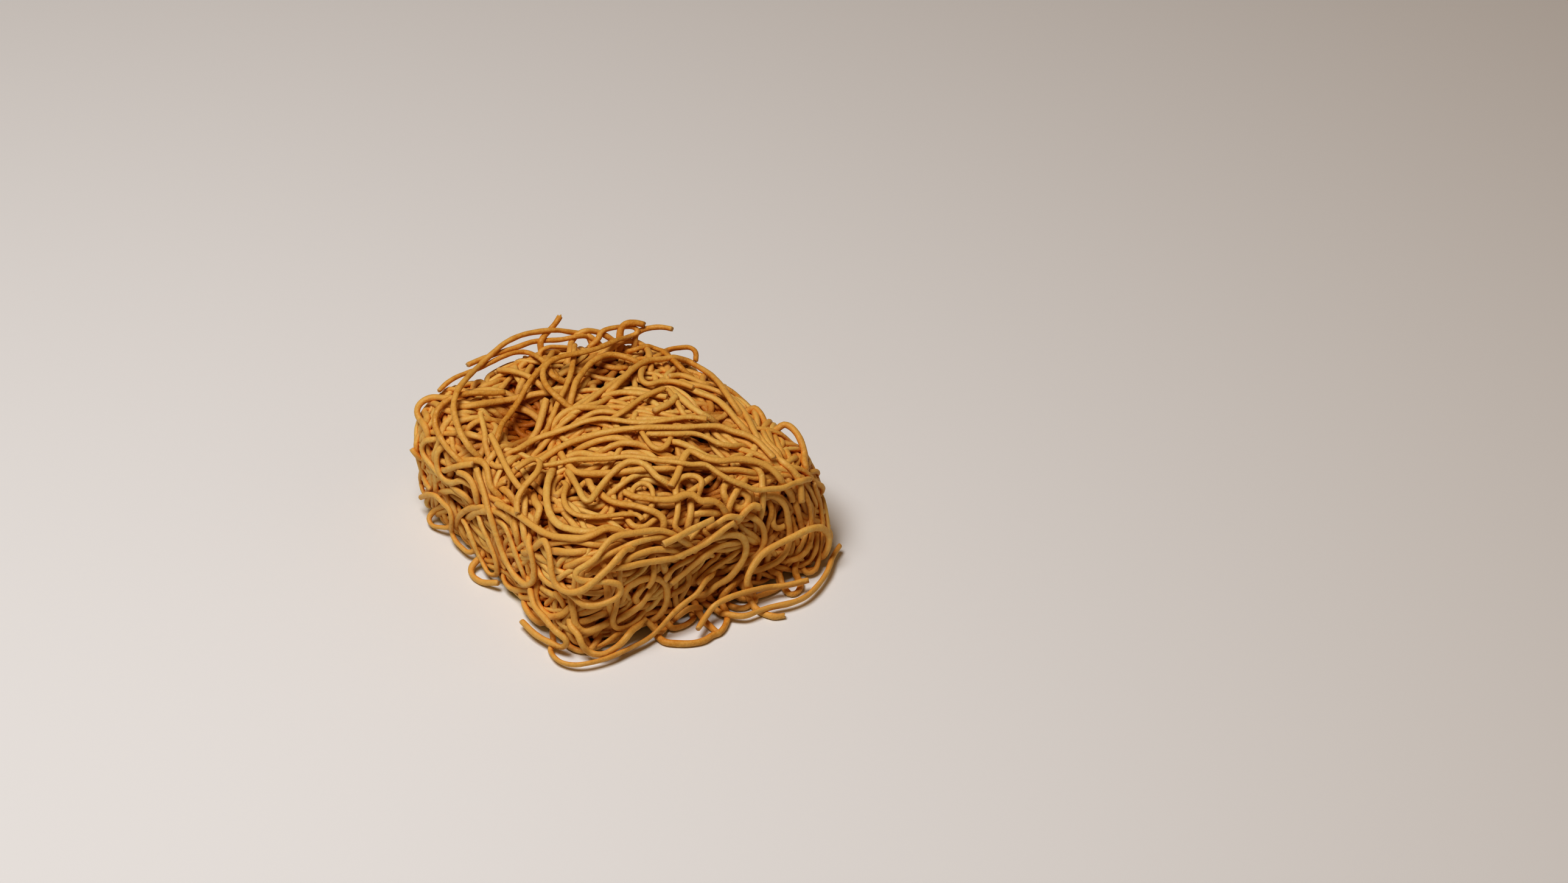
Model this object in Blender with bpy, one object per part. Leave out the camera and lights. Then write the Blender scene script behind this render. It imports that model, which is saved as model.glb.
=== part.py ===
"""A block of dried yi mein: fine wavy noodles matted into a rounded block that rests on its flat underside.

One node. A core stands in for the noodles inside, and the noodles that show are fused onto it: a set laid
by a rule all over the top and sides, and the loose strands that stand clear of the block's outline.
X runs along the front of the block, Y from front to back and Z up. Lengths are in millimetres until MM
turns them into metres at the mesh.
"""

import bmesh
import bpy
import numpy as np
from mathutils import Vector

MM = 0.001
SEED = 11

# The block's form: a rounded box, its floor cut flat, with a few swells and one valley.
HALF_SIZE = (47.0, 45.0, 21.0)
CENTRE_HEIGHT = 15.0
CORNER_ROUND = 15.0
SWELLS = (  # centre, spread, amount outwards
    ((6, -8, 36), (22, 20, 12), 7.0),  # the dome on top
    ((-23, 6, 36), (6, 20, 10), -5.5),  # the valley beside the dome
    ((46, 46, 34), (16, 16, 16), -9.0),  # the back corner that falls away
    ((48, -4, 36), (8, 30, 10), -4.0),  # the sloping edge
    ((-30, 38, 34), (20, 14, 12), 5.0),  # the pile at the back
    ((8, -47, 4), (32, 8, 7), 3.0),  # the foot of the front, which spreads
    ((4, 43, 37), (20, 10, 9), 3.5),  # the top of the back edge
    ((38, -46, 4), (14, 9, 10), 3.5),  # the foot of the right corner
    ((-46, -36, 3), (12, 12, 6), 2.0),  # the foot of the left corner
)

# The noodles.
NOODLE_RADIUS = 0.95
NOODLE_BEVEL_STEPS = 1  # gives a tube of six sides
FLOOR_GAP = 0.15
LAID_COUNT = 27
LAID_LENGTH = (62.0, 84.0)
LAID_STEP = 4.6
LAID_DEPTH = (0.7, 1.3)  # how far a laid noodle's middle line is below the form
LAID_WAVE = (0.10, 0.22)  # radians turned to and fro at each step
LAID_WAVELENGTH = (18.0, 30.0)
LAID_DRIFT = 0.05  # radians a step, the most that a noodle keeps turning one way
LOWEST_START = -0.72  # how far down the sides the noodles start, as the height of a direction

# The loose strands: which ends stay in sight (1 the first, 2 the last, 3 both), and the places they pass.
# The other ends run down into the core.
STRAND_STEP = 5.0
STANDING_STRANDS = (
    (0, ((-43, 17, 36), (-37, 33, 42), (-21, 44, 39), (-2, 47, 41), (16, 41, 38))),
    (0, ((-35, 43, 36), (-13, 45, 38), (-4, 32, 39))),
    (1, ((-23, 47, 38), (-2, 46, 39), (17, 41, 37))),
    (2, ((1, 44, 38), (6, 46, 40), (10, 47, 43))),
    (0, ((20, 39, 38), (28, 35, 37), (11, 30, 41), (-5, 31, 42), (-12, 17, 41))),
    (2, ((30, 36, 35), (35, 33, 38), (38, 29, 39))),
    (2, ((25, 37, 36), (29, 37, 39), (32, 35, 39))),
    (0, ((28, 24, 35), (37, 27, 34), (38, 16, 35))),
    (0, ((7, 37, 37), (17, 41, 39), (25, 37, 32))),
    (0, ((42, -25, 34), (46, -32, 32), (42, -35, 25))),
)
FLOOR_STRANDS = (
    (0, ((-46, 6, 3), (-50, 1, 1.1), (-48, -6, 3))),
    (2, ((-48, -23, 11), (-50, -32, 9), (-49, -40, 5), (-51, -33, 2), (-51, -25, 1.5))),
    (0, ((-49, -36, 1.5), (-46, -48, 2.5), (-32, -49, 3), (-19, -49, 7), (-6, -46, 13))),
    (1, ((47, -46, 2.5), (35, -54, 2.5), (23, -59, 2), (9, -56, 2), (-1, -48, 2))),
    (3, ((-12, -54, 3), (-3, -50, 6), (7, -49.5, 6), (17, -51, 4), (28, -54, 3.5))),
    (0, ((-20, -47, 1.5), (-18, -53, 1.1), (-11, -57, 1.1), (-4, -55, 1.1), (2, -49, 1.1))),
    (2, ((10, -49, 1.1), (10, -55, 1.1), (15, -60, 1.1))),
    (0, ((28, -50, 1.1), (26, -54, 1.1), (21, -52, 1.1))),
    (0, ((13, -47, 1.5), (12, -49, 12), (23, -48, 16), (36, -48, 16), (39, -48, 5))),
)

# The core.
CORE_SUBDIVISIONS = 4
CORE_INSET = 2.0
CORE_LUMP = 0.6
CORE_LUMP_LENGTH = 9.0
CORE_CENTRE = (0.0, 0.0, 14.0)
REACH = 90.0  # further from the middle than any of the block
HALVINGS = 40

DRIED_NOODLE = (0.80, 0.50, 0.20, 1.0)


def clear_scene():
    for obj in list(bpy.data.objects):
        bpy.data.objects.remove(obj, do_unlink=True)


def form(point):
    """Signed distance from the outer form, negative inside, before its floor is cut flat."""
    point = np.asarray(point, float)
    box = np.array(HALF_SIZE) - CORNER_ROUND
    off = np.abs(point - np.array((0.0, 0.0, CENTRE_HEIGHT))) - box
    outside = np.linalg.norm(np.maximum(off, 0.0), axis=-1)
    distance = outside + np.minimum(off.max(axis=-1), 0.0) - CORNER_ROUND
    for centre, spread, amount in SWELLS:
        scaled = (point - np.array(centre)) / np.array(spread)
        distance = distance - amount * np.exp(-0.5 * (scaled**2).sum(axis=-1))
    return distance


def outward(point):
    """The direction in which the form's distance grows fastest."""
    nudges = np.eye(3) * 0.05
    slope = np.array([form(point + nudge) - form(point - nudge) for nudge in nudges])
    return slope / np.linalg.norm(slope)


def lumps(point):
    """Shallow unevenness of the core, as three crossed waves."""
    x, y, z = np.moveaxis(np.asarray(point, float) / CORE_LUMP_LENGTH * 2.0 * np.pi, -1, 0)
    return CORE_LUMP * (np.sin(x + 0.6 * z) + np.sin(y - 0.5 * x) + np.sin(0.9 * z + y)) / 3.0


def surface_along(directions, inset):
    """The point at this depth under the form on each ray from the core's middle, and never under the floor."""
    near = np.zeros(len(directions))
    far = np.full(len(directions), REACH)
    for _ in range(HALVINGS):
        half = (near + far) / 2.0
        points = np.array(CORE_CENTRE) + directions * half[:, None]
        inside = (form(points) + inset < 0.0) & (points[:, 2] > 0.0)
        near = np.where(inside, half, near)
        far = np.where(inside, far, half)
    return np.array(CORE_CENTRE) + directions * near[:, None]


def dried_noodle_material():
    material = bpy.data.materials.new("dried_noodle")
    material.use_nodes = True
    shader = material.node_tree.nodes["Principled BSDF"]
    shader.inputs["Base Color"].default_value = DRIED_NOODLE
    shader.inputs["Roughness"].default_value = 0.55
    shader.inputs["Metallic"].default_value = 0.0
    return material


def make_core():
    """A ball whose points are moved out along their own rays onto the inset form."""
    mesh = bpy.data.meshes.new("noodle_block")
    ball = bmesh.new()
    bmesh.ops.create_icosphere(ball, subdivisions=CORE_SUBDIVISIONS, radius=1.0)
    directions = np.array([vert.co[:] for vert in ball.verts])
    directions /= np.linalg.norm(directions, axis=1)[:, None]
    points = surface_along(directions, CORE_INSET)
    points = surface_along(directions, CORE_INSET + lumps(points))
    points[points[:, 2] < 0.01, 2] = 0.0
    for vert, point in zip(ball.verts, points):
        vert.co = Vector(point * MM)
    bmesh.ops.recalc_face_normals(ball, faces=ball.faces)
    ball.to_mesh(mesh)
    ball.free()
    core = bpy.data.objects.new("noodle_block", mesh)
    core.data.materials.append(dried_noodle_material())
    return core


def laid_path(start, rng):
    """A noodle that lies along the form: it steps ahead, turns in waves and is put back at its own depth."""
    depth = rng.uniform(*LAID_DEPTH)
    wave = rng.uniform(*LAID_WAVE)
    wavelength = rng.uniform(*LAID_WAVELENGTH)
    phase = rng.uniform(0.0, 2.0 * np.pi)
    drift = rng.uniform(-LAID_DRIFT, LAID_DRIFT)
    lowest = NOODLE_RADIUS + FLOOR_GAP
    up = outward(start)
    level = np.cross((0.0, 0.0, 1.0), up)
    if np.linalg.norm(level) < 0.35:
        level = np.cross((start[0] - 6.0, start[1] + 8.0, 0.0), up)
    angle = rng.uniform(-0.9, 0.9)
    level = level / np.linalg.norm(level)
    heading = np.cos(angle) * level + np.sin(angle) * np.cross(up, level)
    point = np.array(start, float)
    path = []
    for step in range(int(rng.uniform(*LAID_LENGTH) / LAID_STEP)):
        up = outward(point)
        point = point - up * (form(point) + depth)
        point[2] = max(point[2], lowest)
        path.append(point)
        turn = drift + wave * np.sin(2.0 * np.pi * step * LAID_STEP / wavelength + phase)
        heading = heading - up * heading.dot(up)
        heading = heading / np.linalg.norm(heading)
        heading = np.cos(turn) * heading + np.sin(turn) * np.cross(up, heading)
        point = point + heading * LAID_STEP
    return np.array(path)


def laid_paths():
    """Starts spread evenly round the top and sides by the golden angle."""
    rng = np.random.default_rng(SEED)
    order = (np.arange(LAID_COUNT) + 0.5) / LAID_COUNT
    height = 1.0 - order * (1.0 - LOWEST_START)
    turn = np.arange(LAID_COUNT) * np.pi * (3.0 - np.sqrt(5.0))
    flat = np.sqrt(1.0 - height**2)
    directions = np.stack([flat * np.cos(turn), flat * np.sin(turn), height], axis=1)
    return [laid_path(start, rng) for start in surface_along(directions, 1.0)]


def rooted(place):
    """A place straight below this one, well inside the core."""
    up = outward(place)
    return place - up * (form(place) + CORE_INSET + 2.5 * NOODLE_RADIUS)


def strand_path(free, places):
    """A smooth path through the places: on each stretch the cubic whose slopes are the mean slopes there."""
    places = [np.array(place, float) for place in places]
    if not free & 1:
        places.insert(0, rooted(places[0]))
    if not free & 2:
        places.append(rooted(places[-1]))
    places = np.array(places)
    at = np.append(0.0, np.cumsum(np.linalg.norm(np.diff(places, axis=0), axis=1)))
    slope = np.gradient(places, at, axis=0)
    where = np.linspace(0.0, at[-1], int(at[-1] / STRAND_STEP) + 2)
    part = np.clip(np.searchsorted(at, where, "right") - 1, 0, len(at) - 2)
    width = (at[part + 1] - at[part])[:, None]
    s = (where[:, None] - at[part][:, None]) / width
    path = places[part] + (places[part + 1] - places[part]) * (3.0 - 2.0 * s) * s * s
    path += width * s * (1.0 - s) * (slope[part] * (1.0 - s) - slope[part + 1] * s)
    path[:, 2] = np.maximum(path[:, 2], NOODLE_RADIUS + FLOOR_GAP)
    return path


def make_noodle(number, path):
    """A round tube along the path, with filled ends, as a closed mesh object."""
    curve = bpy.data.curves.new(f"noodle_{number}", "CURVE")
    curve.dimensions = "3D"
    curve.bevel_depth = NOODLE_RADIUS * MM
    curve.bevel_resolution = NOODLE_BEVEL_STEPS
    curve.use_fill_caps = True
    spline = curve.splines.new("POLY")
    spline.points.add(len(path) - 1)
    for place, point in zip(spline.points, path):
        place.co = (point[0] * MM, point[1] * MM, point[2] * MM, 1.0)
    guide = bpy.data.objects.new(curve.name, curve)
    bpy.context.scene.collection.objects.link(guide)
    graph = bpy.context.evaluated_depsgraph_get()
    mesh = bpy.data.meshes.new_from_object(guide.evaluated_get(graph))
    mesh.transform(guide.matrix_world)
    bpy.data.objects.remove(guide, do_unlink=True)
    tube = bmesh.new()
    tube.from_mesh(mesh)
    bmesh.ops.remove_doubles(tube, verts=tube.verts, dist=0.00001)
    bmesh.ops.recalc_face_normals(tube, faces=tube.faces)
    tube.to_mesh(mesh)
    tube.free()
    return bpy.data.objects.new(f"noodle_{number}", mesh)


def fuse(core, noodles):
    """Joins the noodles to the core by one union, then removes them."""
    bundle = bpy.data.collections.new("noodles")
    bpy.context.scene.collection.children.link(bundle)
    for noodle in noodles:
        bundle.objects.link(noodle)
    union = core.modifiers.new("union", "BOOLEAN")
    union.operation = "UNION"
    union.operand_type = "COLLECTION"
    union.collection = bundle
    union.solver = "MANIFOLD"
    bpy.context.view_layer.objects.active = core
    bpy.ops.object.modifier_apply(modifier=union.name)
    for noodle in noodles:
        bpy.data.objects.remove(noodle, do_unlink=True)
    bpy.data.collections.remove(bundle)


def keep_one_shell(core):
    """Keeps the largest shell, which drops loose scraps and fills sealed hollows."""
    work = bmesh.new()
    work.from_mesh(core.data)
    shells = []
    waiting = set(work.verts)
    while waiting:
        shell = set()
        edge_of_search = [waiting.pop()]
        while edge_of_search:
            vert = edge_of_search.pop()
            shell.add(vert)
            for edge in vert.link_edges:
                other = edge.other_vert(vert)
                if other in waiting:
                    waiting.remove(other)
                    edge_of_search.append(other)
        shells.append(shell)
    shells.sort(key=len)
    for shell in shells[:-1]:
        bmesh.ops.delete(work, geom=list(shell), context="VERTS")
    bmesh.ops.triangulate(work, faces=work.faces)
    work.to_mesh(core.data)
    work.free()


def centre_on_floor(core):
    """Puts the middle of the block's outline, seen from above, at the origin."""
    corners = np.array([vert.co[:] for vert in core.data.vertices])
    middle = (corners.min(axis=0) + corners.max(axis=0)) / 2.0
    for vert in core.data.vertices:
        vert.co.x -= middle[0]
        vert.co.y -= middle[1]
    return middle


clear_scene()
block = bpy.data.collections.new("dried_noodle_block")
bpy.context.scene.collection.children.link(block)
body = make_core()
block.objects.link(body)
strands = [strand_path(*strand) for strand in STANDING_STRANDS + FLOOR_STRANDS]
paths = laid_paths() + strands
fuse(body, [make_noodle(number, path) for number, path in enumerate(paths)])
keep_one_shell(body)
shift = centre_on_floor(body)
print("moved by", shift, "triangles", len(body.data.polygons))
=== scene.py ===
"""A block of dried yi mein, noodle by noodle.

The block's form is a signed distance. The noodles that show from the front follow the photograph: each
route is a few points of the picture, carried onto the form. The rest are walked over the form at several
depths. All are pushed apart until they only touch or are pressed together a little, with hollows kept
between them, and each becomes an uneven, slightly flattened tube with broken ends. Painted shade in its
colour follows from how deep in the block and how close to other noodles it lies, and darkens the bottoms
of the hollows. Lengths are in millimetres in the block's own place until MM turns them into metres.
"""

import bpy
import numpy as np
from mathutils import Matrix, Vector


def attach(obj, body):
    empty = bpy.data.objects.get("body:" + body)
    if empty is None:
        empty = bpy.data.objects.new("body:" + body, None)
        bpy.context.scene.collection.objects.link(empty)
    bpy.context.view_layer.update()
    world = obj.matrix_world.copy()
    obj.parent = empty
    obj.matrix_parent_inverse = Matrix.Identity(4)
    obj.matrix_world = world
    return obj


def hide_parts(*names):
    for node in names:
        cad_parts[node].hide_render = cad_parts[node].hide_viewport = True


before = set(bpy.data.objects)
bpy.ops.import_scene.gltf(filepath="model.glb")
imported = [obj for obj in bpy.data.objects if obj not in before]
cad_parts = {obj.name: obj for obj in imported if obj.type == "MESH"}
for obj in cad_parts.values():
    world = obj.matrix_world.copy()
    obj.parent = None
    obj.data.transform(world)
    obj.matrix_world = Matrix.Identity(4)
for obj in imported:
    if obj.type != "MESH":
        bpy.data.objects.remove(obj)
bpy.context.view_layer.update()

MM = 0.001
SEED = 5
BLOCK_PLACE = np.array((2.098, 6.379, 0.0))  # the block's middle, from the middle of its outline

# The block's form, as in the solid: a rounded box with swells and a valley.
HALF_SIZE = np.array((47.0, 45.0, 21.0))
CENTRE_HEIGHT = 15.0
CORNER_ROUND = 15.0
SWELLS = (  # centre, spread, amount outwards
    ((6, -8, 36), (22, 20, 12), 7.0),  # the dome on top
    ((-23, 6, 36), (6, 20, 10), -5.5),  # the valley beside the dome
    ((46, 46, 34), (16, 16, 16), -9.0),  # the back corner that falls away
    ((48, -4, 36), (8, 30, 10), -4.0),  # the sloping edge
    ((-30, 38, 34), (20, 14, 12), 5.0),  # the pile at the back
    ((8, -47, 4), (32, 8, 7), 3.0),  # the foot of the front, which spreads
    ((4, 43, 37), (20, 10, 9), 3.5),  # the top of the back edge
    ((38, -46, 4), (14, 9, 10), 3.5),  # the foot of the right corner
    ((-46, -36, 3), (12, 12, 6), 2.0),  # the foot of the left corner
)
FLOOR_BLEND = 5.0  # how softly the sides turn under into the flat base
NUDGE = 0.05  # how far off a point the form is read to find which way is outwards

# The noodles.
RADIUS = 0.9  # of a noodle whose thickness is 1
LAYERS = (  # piece, depth of the layer under the form, noodles, points along each, sides of each
    ("outer_noodles", 0.9, 100, 121, 8),
    ("middle_noodles", 2.2, 96, 121, 8),
    ("inner_noodles", 3.6, 92, 101, 7),
    ("deep_noodles", 5.4, 72, 81, 6),
    ("deep_noodles", 8.0, 40, 71, 6),
)
LENGTHS = (95.0, 190.0)  # of the walked noodles
CORE_DEPTH = 11.5  # how far under the form the core lies

# The camera, in the block's own place, and the picture it was found from.
PICTURE_MIDDLE = np.array((1288.0, 725.0))
PICTURE_WIDTH = 2576.0
LENS = 86.77
SENSOR = 36.0
FOCAL = LENS / SENSOR * PICTURE_WIDTH  # in points of the photograph
CAMERA_PLACE = np.array((-545.12, -675.60, 697.85))
CAMERA_RIGHT = np.array((0.78126, -0.61893, 0.08101))
CAMERA_UP = np.array((0.32740, 0.51680, 0.79103))
CAMERA_AHEAD = np.array((0.53146, 0.59148, -0.60639))


# ---------------------------------------------------------------- the noodles that the photograph shows
# Each is its level (0 deep to 3 on top), its tone (0 pale to 1 ochre), which ends stay in sight (1 the
# first, 2 the last, 3 both; the others dive under the rest) and its route, in points of the photograph.

CROWN = (  # the dome
    (0, 0.35, 0, ((905, 700), (925, 683), (945, 668), (965, 655), (985, 645), (1005, 636), (1030, 630))),
    (0, 0.3, 3, ((985, 660), (1005, 659), (1022, 662), (1037, 670))),
    (0, 0.3, 0, ((1128, 735), (1150, 748), (1166, 756), (1182, 765))),
    (1, 0.25, 2, ((983, 652), (1000, 648), (1022, 644), (1045, 646), (1068, 648), (1095, 652))),
    (1, 0.3, 3, ((1076, 674), (1090, 668), (1103, 660), (1110, 652))),
    (1, 0.25, 0, ((1098, 640), (1112, 660), (1122, 680))),
    (1, 0.25, 0, ((1103, 640), (1120, 655), (1140, 672), (1160, 684))),
    (1, 0.3, 0, ((1100, 632), (1125, 635), (1150, 646), (1175, 655), (1195, 672), (1210, 690), (1224, 706))),
    (1, 0.35, 0, ((1128, 630), (1160, 636), (1190, 648), (1212, 663), (1226, 682), (1236, 702), (1246, 722))),
    (1, 0.45, 1, ((1100, 618), (1118, 616), (1135, 621), (1150, 628), (1168, 634))),
    (2, 0.35, 0, ((890, 735), (905, 715), (925, 695), (945, 678), (965, 661), (990, 641), (1015, 624),
        (1038, 610))),
    (2, 0.3, 0, ((912, 702), (938, 682), (962, 668), (985, 662))),
    (2, 0.4, 2, ((1012, 684), (1032, 670), (1052, 655), (1072, 645), (1090, 638))),
    (2, 0.45, 0, ((905, 706), (915, 690), (930, 676), (945, 672), (965, 668), (982, 672))),
    (2, 0.4, 0, ((955, 690), (975, 678), (1000, 676), (1022, 681))),
    (2, 0.5, 2, ((1060, 599), (1053, 612), (1054, 624), (1064, 631), (1082, 627), (1102, 626), (1122, 630),
        (1138, 636))),
    (2, 0.45, 2, ((852, 737), (880, 721), (905, 712), (935, 702), (965, 691), (990, 687), (1015, 690),
        (1045, 694), (1075, 693), (1105, 688), (1130, 685), (1160, 688))),
    (1, 0.45, 0, ((1160, 758), (1185, 770), (1215, 772), (1245, 778))),
    (1, 0.35, 0, ((1220, 760), (1238, 765), (1250, 777), (1252, 805), (1253, 833), (1247, 855))),
    (1, 0.3, 0, ((1030, 780), (1022, 795), (1020, 805))),
    (1, 0.3, 0, ((1002, 812), (1022, 795), (1040, 783), (1060, 778), (1080, 783))),
    (1, 0.35, 0, ((965, 785), (972, 800), (980, 812))),
    (1, 0.3, 0, ((914, 778), (932, 768), (948, 760))),
    (1, 0.4, 0, ((985, 744), (1000, 735), (1020, 728), (1040, 728), (1065, 735), (1092, 747))),
    (1, 0.4, 0, ((955, 735), (975, 726), (1000, 720), (1020, 720), (1042, 730))),
    (2, 0.4, 0, ((1054, 708), (1062, 722), (1074, 735), (1086, 738), (1096, 730), (1101, 721))),
    (2, 0.4, 0, ((1102, 724), (1122, 729), (1145, 740), (1165, 752))),
    (2, 0.4, 1, ((1063, 713), (1090, 713), (1115, 713), (1140, 712), (1160, 718), (1182, 729), (1205, 733))),
    (2, 0.45, 2, ((888, 756), (905, 744), (925, 732), (950, 722), (980, 713), (1010, 707), (1045, 703),
        (1085, 702), (1125, 702), (1160, 700), (1185, 701), (1203, 708), (1225, 714), (1244, 724),
        (1258, 738), (1271, 752))),
    (3, 0.4, 0, ((898, 764), (920, 760), (942, 755), (970, 754), (1000, 753), (1028, 750), (1055, 752),
        (1085, 757), (1112, 759), (1135, 763), (1160, 763), (1177, 775), (1197, 787), (1223, 797),
        (1243, 805), (1263, 803), (1283, 802), (1306, 793))),
    (2, 0.4, 0, ((928, 757), (936, 768), (948, 776), (970, 778), (1000, 777), (1030, 774), (1060, 771),
        (1090, 770), (1118, 768), (1150, 766))),
    (3, 0.45, 0, ((940, 785), (950, 802), (958, 818), (965, 825), (980, 808), (1000, 783), (1017, 767),
        (1033, 758), (1050, 759), (1065, 767), (1078, 782), (1095, 793))),
    (3, 0.55, 1, ((1102, 798), (1110, 785), (1117, 768), (1124, 750), (1132, 740), (1143, 744), (1160, 753),
        (1185, 757), (1213, 754), (1238, 757), (1260, 765), (1275, 777), (1286, 793))),
    (1, 0.4, 2, ((925, 770), (935, 785), (930, 800), (913, 815))),
    (1, 0.35, 2, ((1283, 757), (1302, 772), (1313, 790), (1316, 810), (1317, 824))),
)
MIDDLE = (  # the swirl before the dome and the slope beside it
    (0, 0.35, 0, ((910, 838), (930, 838), (950, 842))),
    (0, 0.35, 1, ((965, 857), (990, 858), (1020, 858))),
    (0, 0.35, 0, ((985, 828), (1003, 822), (1022, 830), (1040, 838))),
    (1, 0.4, 0, ((1030, 852), (1040, 864), (1058, 866), (1072, 856), (1083, 848))),
    (1, 0.45, 0, ((1197, 792), (1189, 800), (1189, 812), (1195, 824))),
    (1, 0.45, 0, ((1212, 806), (1228, 814), (1229, 828), (1217, 837), (1206, 831))),
    (2, 0.4, 0, ((1214, 800), (1206, 814), (1199, 828), (1196, 845))),
    (1, 0.4, 0, ((1134, 822), (1135, 843), (1130, 862))),
    (1, 0.4, 0, ((1155, 838), (1145, 848), (1142, 858))),
    (2, 0.4, 0, ((1150, 800), (1154, 790), (1145, 783), (1126, 782), (1113, 790), (1110, 808), (1114, 828),
        (1112, 848), (1108, 865), (1116, 873))),
    (2, 0.35, 0, ((1128, 812), (1140, 804), (1153, 795))),
    (2, 0.4, 0, ((1090, 866), (1091, 854), (1080, 843), (1062, 836), (1040, 830), (1015, 827), (998, 820),
        (985, 810))),
    (2, 0.45, 0, ((1036, 838), (1036, 815), (1042, 800), (1056, 793), (1069, 799), (1073, 815), (1070, 833),
        (1062, 846))),
    (3, 0.55, 1, ((1026, 808), (1040, 815), (1062, 818), (1085, 821), (1106, 820), (1126, 812), (1141, 813),
        (1150, 823), (1168, 822), (1183, 828), (1190, 838))),
    (2, 0.45, 2, ((930, 800), (926, 815), (930, 832), (942, 843), (960, 848), (985, 849), (1010, 846),
        (1035, 844), (1050, 846), (1055, 853))),
    (2, 0.4, 0, ((908, 770), (900, 792), (898, 820), (904, 845), (918, 862), (940, 870), (962, 873),
        (985, 870))),
    (1, 0.4, 0, ((1140, 845), (1165, 842), (1190, 845))),
    (2, 0.35, 2, ((1178, 860), (1195, 849), (1217, 851))),
    (2, 0.35, 2, ((1219, 846), (1230, 835), (1241, 829), (1248, 834))),
    (1, 0.45, 0, ((1233, 847), (1250, 860), (1256, 880), (1253, 900), (1240, 915), (1218, 927), (1195, 935))),
    (2, 0.45, 1, ((817, 827), (832, 834), (848, 843), (866, 857), (885, 870), (903, 879), (930, 883),
        (957, 884), (977, 877), (995, 869), (1015, 870), (1027, 878))),
    (1, 0.4, 0, ((905, 893), (925, 890), (950, 889), (965, 893), (985, 896))),
    (1, 0.4, 0, ((912, 905), (935, 907), (960, 906))),
    (1, 0.35, 0, ((943, 926), (952, 921), (963, 918))),
    (1, 0.35, 0, ((1088, 925), (1092, 935), (1095, 944))),
    (2, 0.4, 0, ((1023, 926), (1036, 916), (1058, 907), (1083, 902), (1103, 904), (1114, 909))),
    (2, 0.4, 0, ((975, 925), (990, 915), (1010, 906), (1035, 895), (1058, 887), (1080, 882), (1100, 880))),
    (3, 0.4, 0, ((1118, 886), (1103, 876), (1085, 871), (1058, 873), (1033, 877), (1010, 882), (997, 892),
        (987, 905), (975, 920), (960, 930), (947, 938), (944, 946), (953, 953), (975, 955), (1000, 956),
        (1017, 960), (1021, 970), (1014, 981), (998, 989), (975, 995), (955, 992), (942, 980))),
    (3, 0.35, 3, ((1172, 853), (1150, 863), (1130, 873), (1110, 884), (1091, 893))),
    (2, 0.35, 1, ((1205, 857), (1182, 875), (1160, 892), (1135, 905), (1108, 916), (1080, 921), (1055, 925),
        (1030, 931), (1003, 934))),
)
FRONT = (  # the front face
    (0, 0.5, 0, ((1000, 942), (1025, 943), (1045, 938))),
    (0, 0.5, 0, ((1010, 950), (1030, 952), (1052, 944), (1062, 935))),
    (0, 0.5, 0, ((930, 1018), (950, 1022), (980, 1012), (1000, 1003))),
    (0, 0.5, 0, ((945, 1008), (965, 1005), (990, 995))),
    (0, 0.45, 0, ((915, 1022), (935, 1022))),
    (0, 0.45, 0, ((925, 1035), (945, 1036))),
    (0, 0.5, 0, ((1025, 988), (1040, 998), (1060, 995), (1080, 990))),
    (0, 0.55, 0, ((1130, 960), (1150, 940), (1165, 925), (1178, 915), (1183, 905))),
    (0, 0.55, 0, ((1150, 990), (1165, 975), (1185, 955), (1205, 945))),
    (1, 0.5, 0, ((998, 968), (999, 985), (1003, 1000))),
    (1, 0.5, 0, ((1055, 960), (1050, 973), (1042, 982), (1052, 992))),
    (1, 0.45, 0, ((1100, 977), (1120, 968), (1133, 955), (1130, 942))),
    (1, 0.5, 0, ((1012, 1019), (1032, 1008), (1050, 995), (1063, 980), (1071, 966))),
    (1, 0.45, 2, ((1073, 925), (1074, 942), (1071, 955), (1064, 964))),
    (1, 0.45, 0, ((1024, 982), (1030, 966), (1043, 956), (1062, 950), (1080, 950), (1092, 957), (1096, 975),
        (1092, 998), (1080, 1013), (1060, 1023), (1045, 1029))),
    (1, 0.45, 0, ((1014, 965), (1014, 985), (1009, 1008), (1006, 1023), (1013, 1032), (1028, 1030),
        (1045, 1020), (1055, 1006))),
    (1, 0.45, 0, ((937, 983), (942, 1005), (947, 1028), (962, 1038), (980, 1032), (1000, 1022))),
    (1, 0.4, 0, ((905, 985), (912, 975), (922, 985), (926, 994))),
    (1, 0.4, 0, ((884, 958), (880, 975), (887, 997), (903, 1012), (922, 1010), (936, 998))),
    (1, 0.45, 1, ((1093, 952), (1103, 936), (1120, 925), (1145, 913), (1170, 898))),
    (1, 0.5, 1, ((1146, 957), (1163, 940), (1180, 928), (1200, 915), (1215, 902))),
    (2, 0.45, 1, ((1103, 958), (1117, 947), (1142, 925), (1160, 911), (1180, 898), (1205, 892))),
    (2, 0.4, 0, ((1158, 890), (1180, 881), (1203, 878), (1220, 883), (1226, 898), (1222, 917), (1210, 935),
        (1197, 950), (1178, 961), (1160, 975))),
    (3, 0.6, 0, ((885, 893), (893, 887), (900, 900), (904, 925), (908, 950), (918, 966), (935, 973),
        (955, 970), (970, 960), (985, 947), (1003, 930), (1018, 913), (1030, 900))),
)
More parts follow.
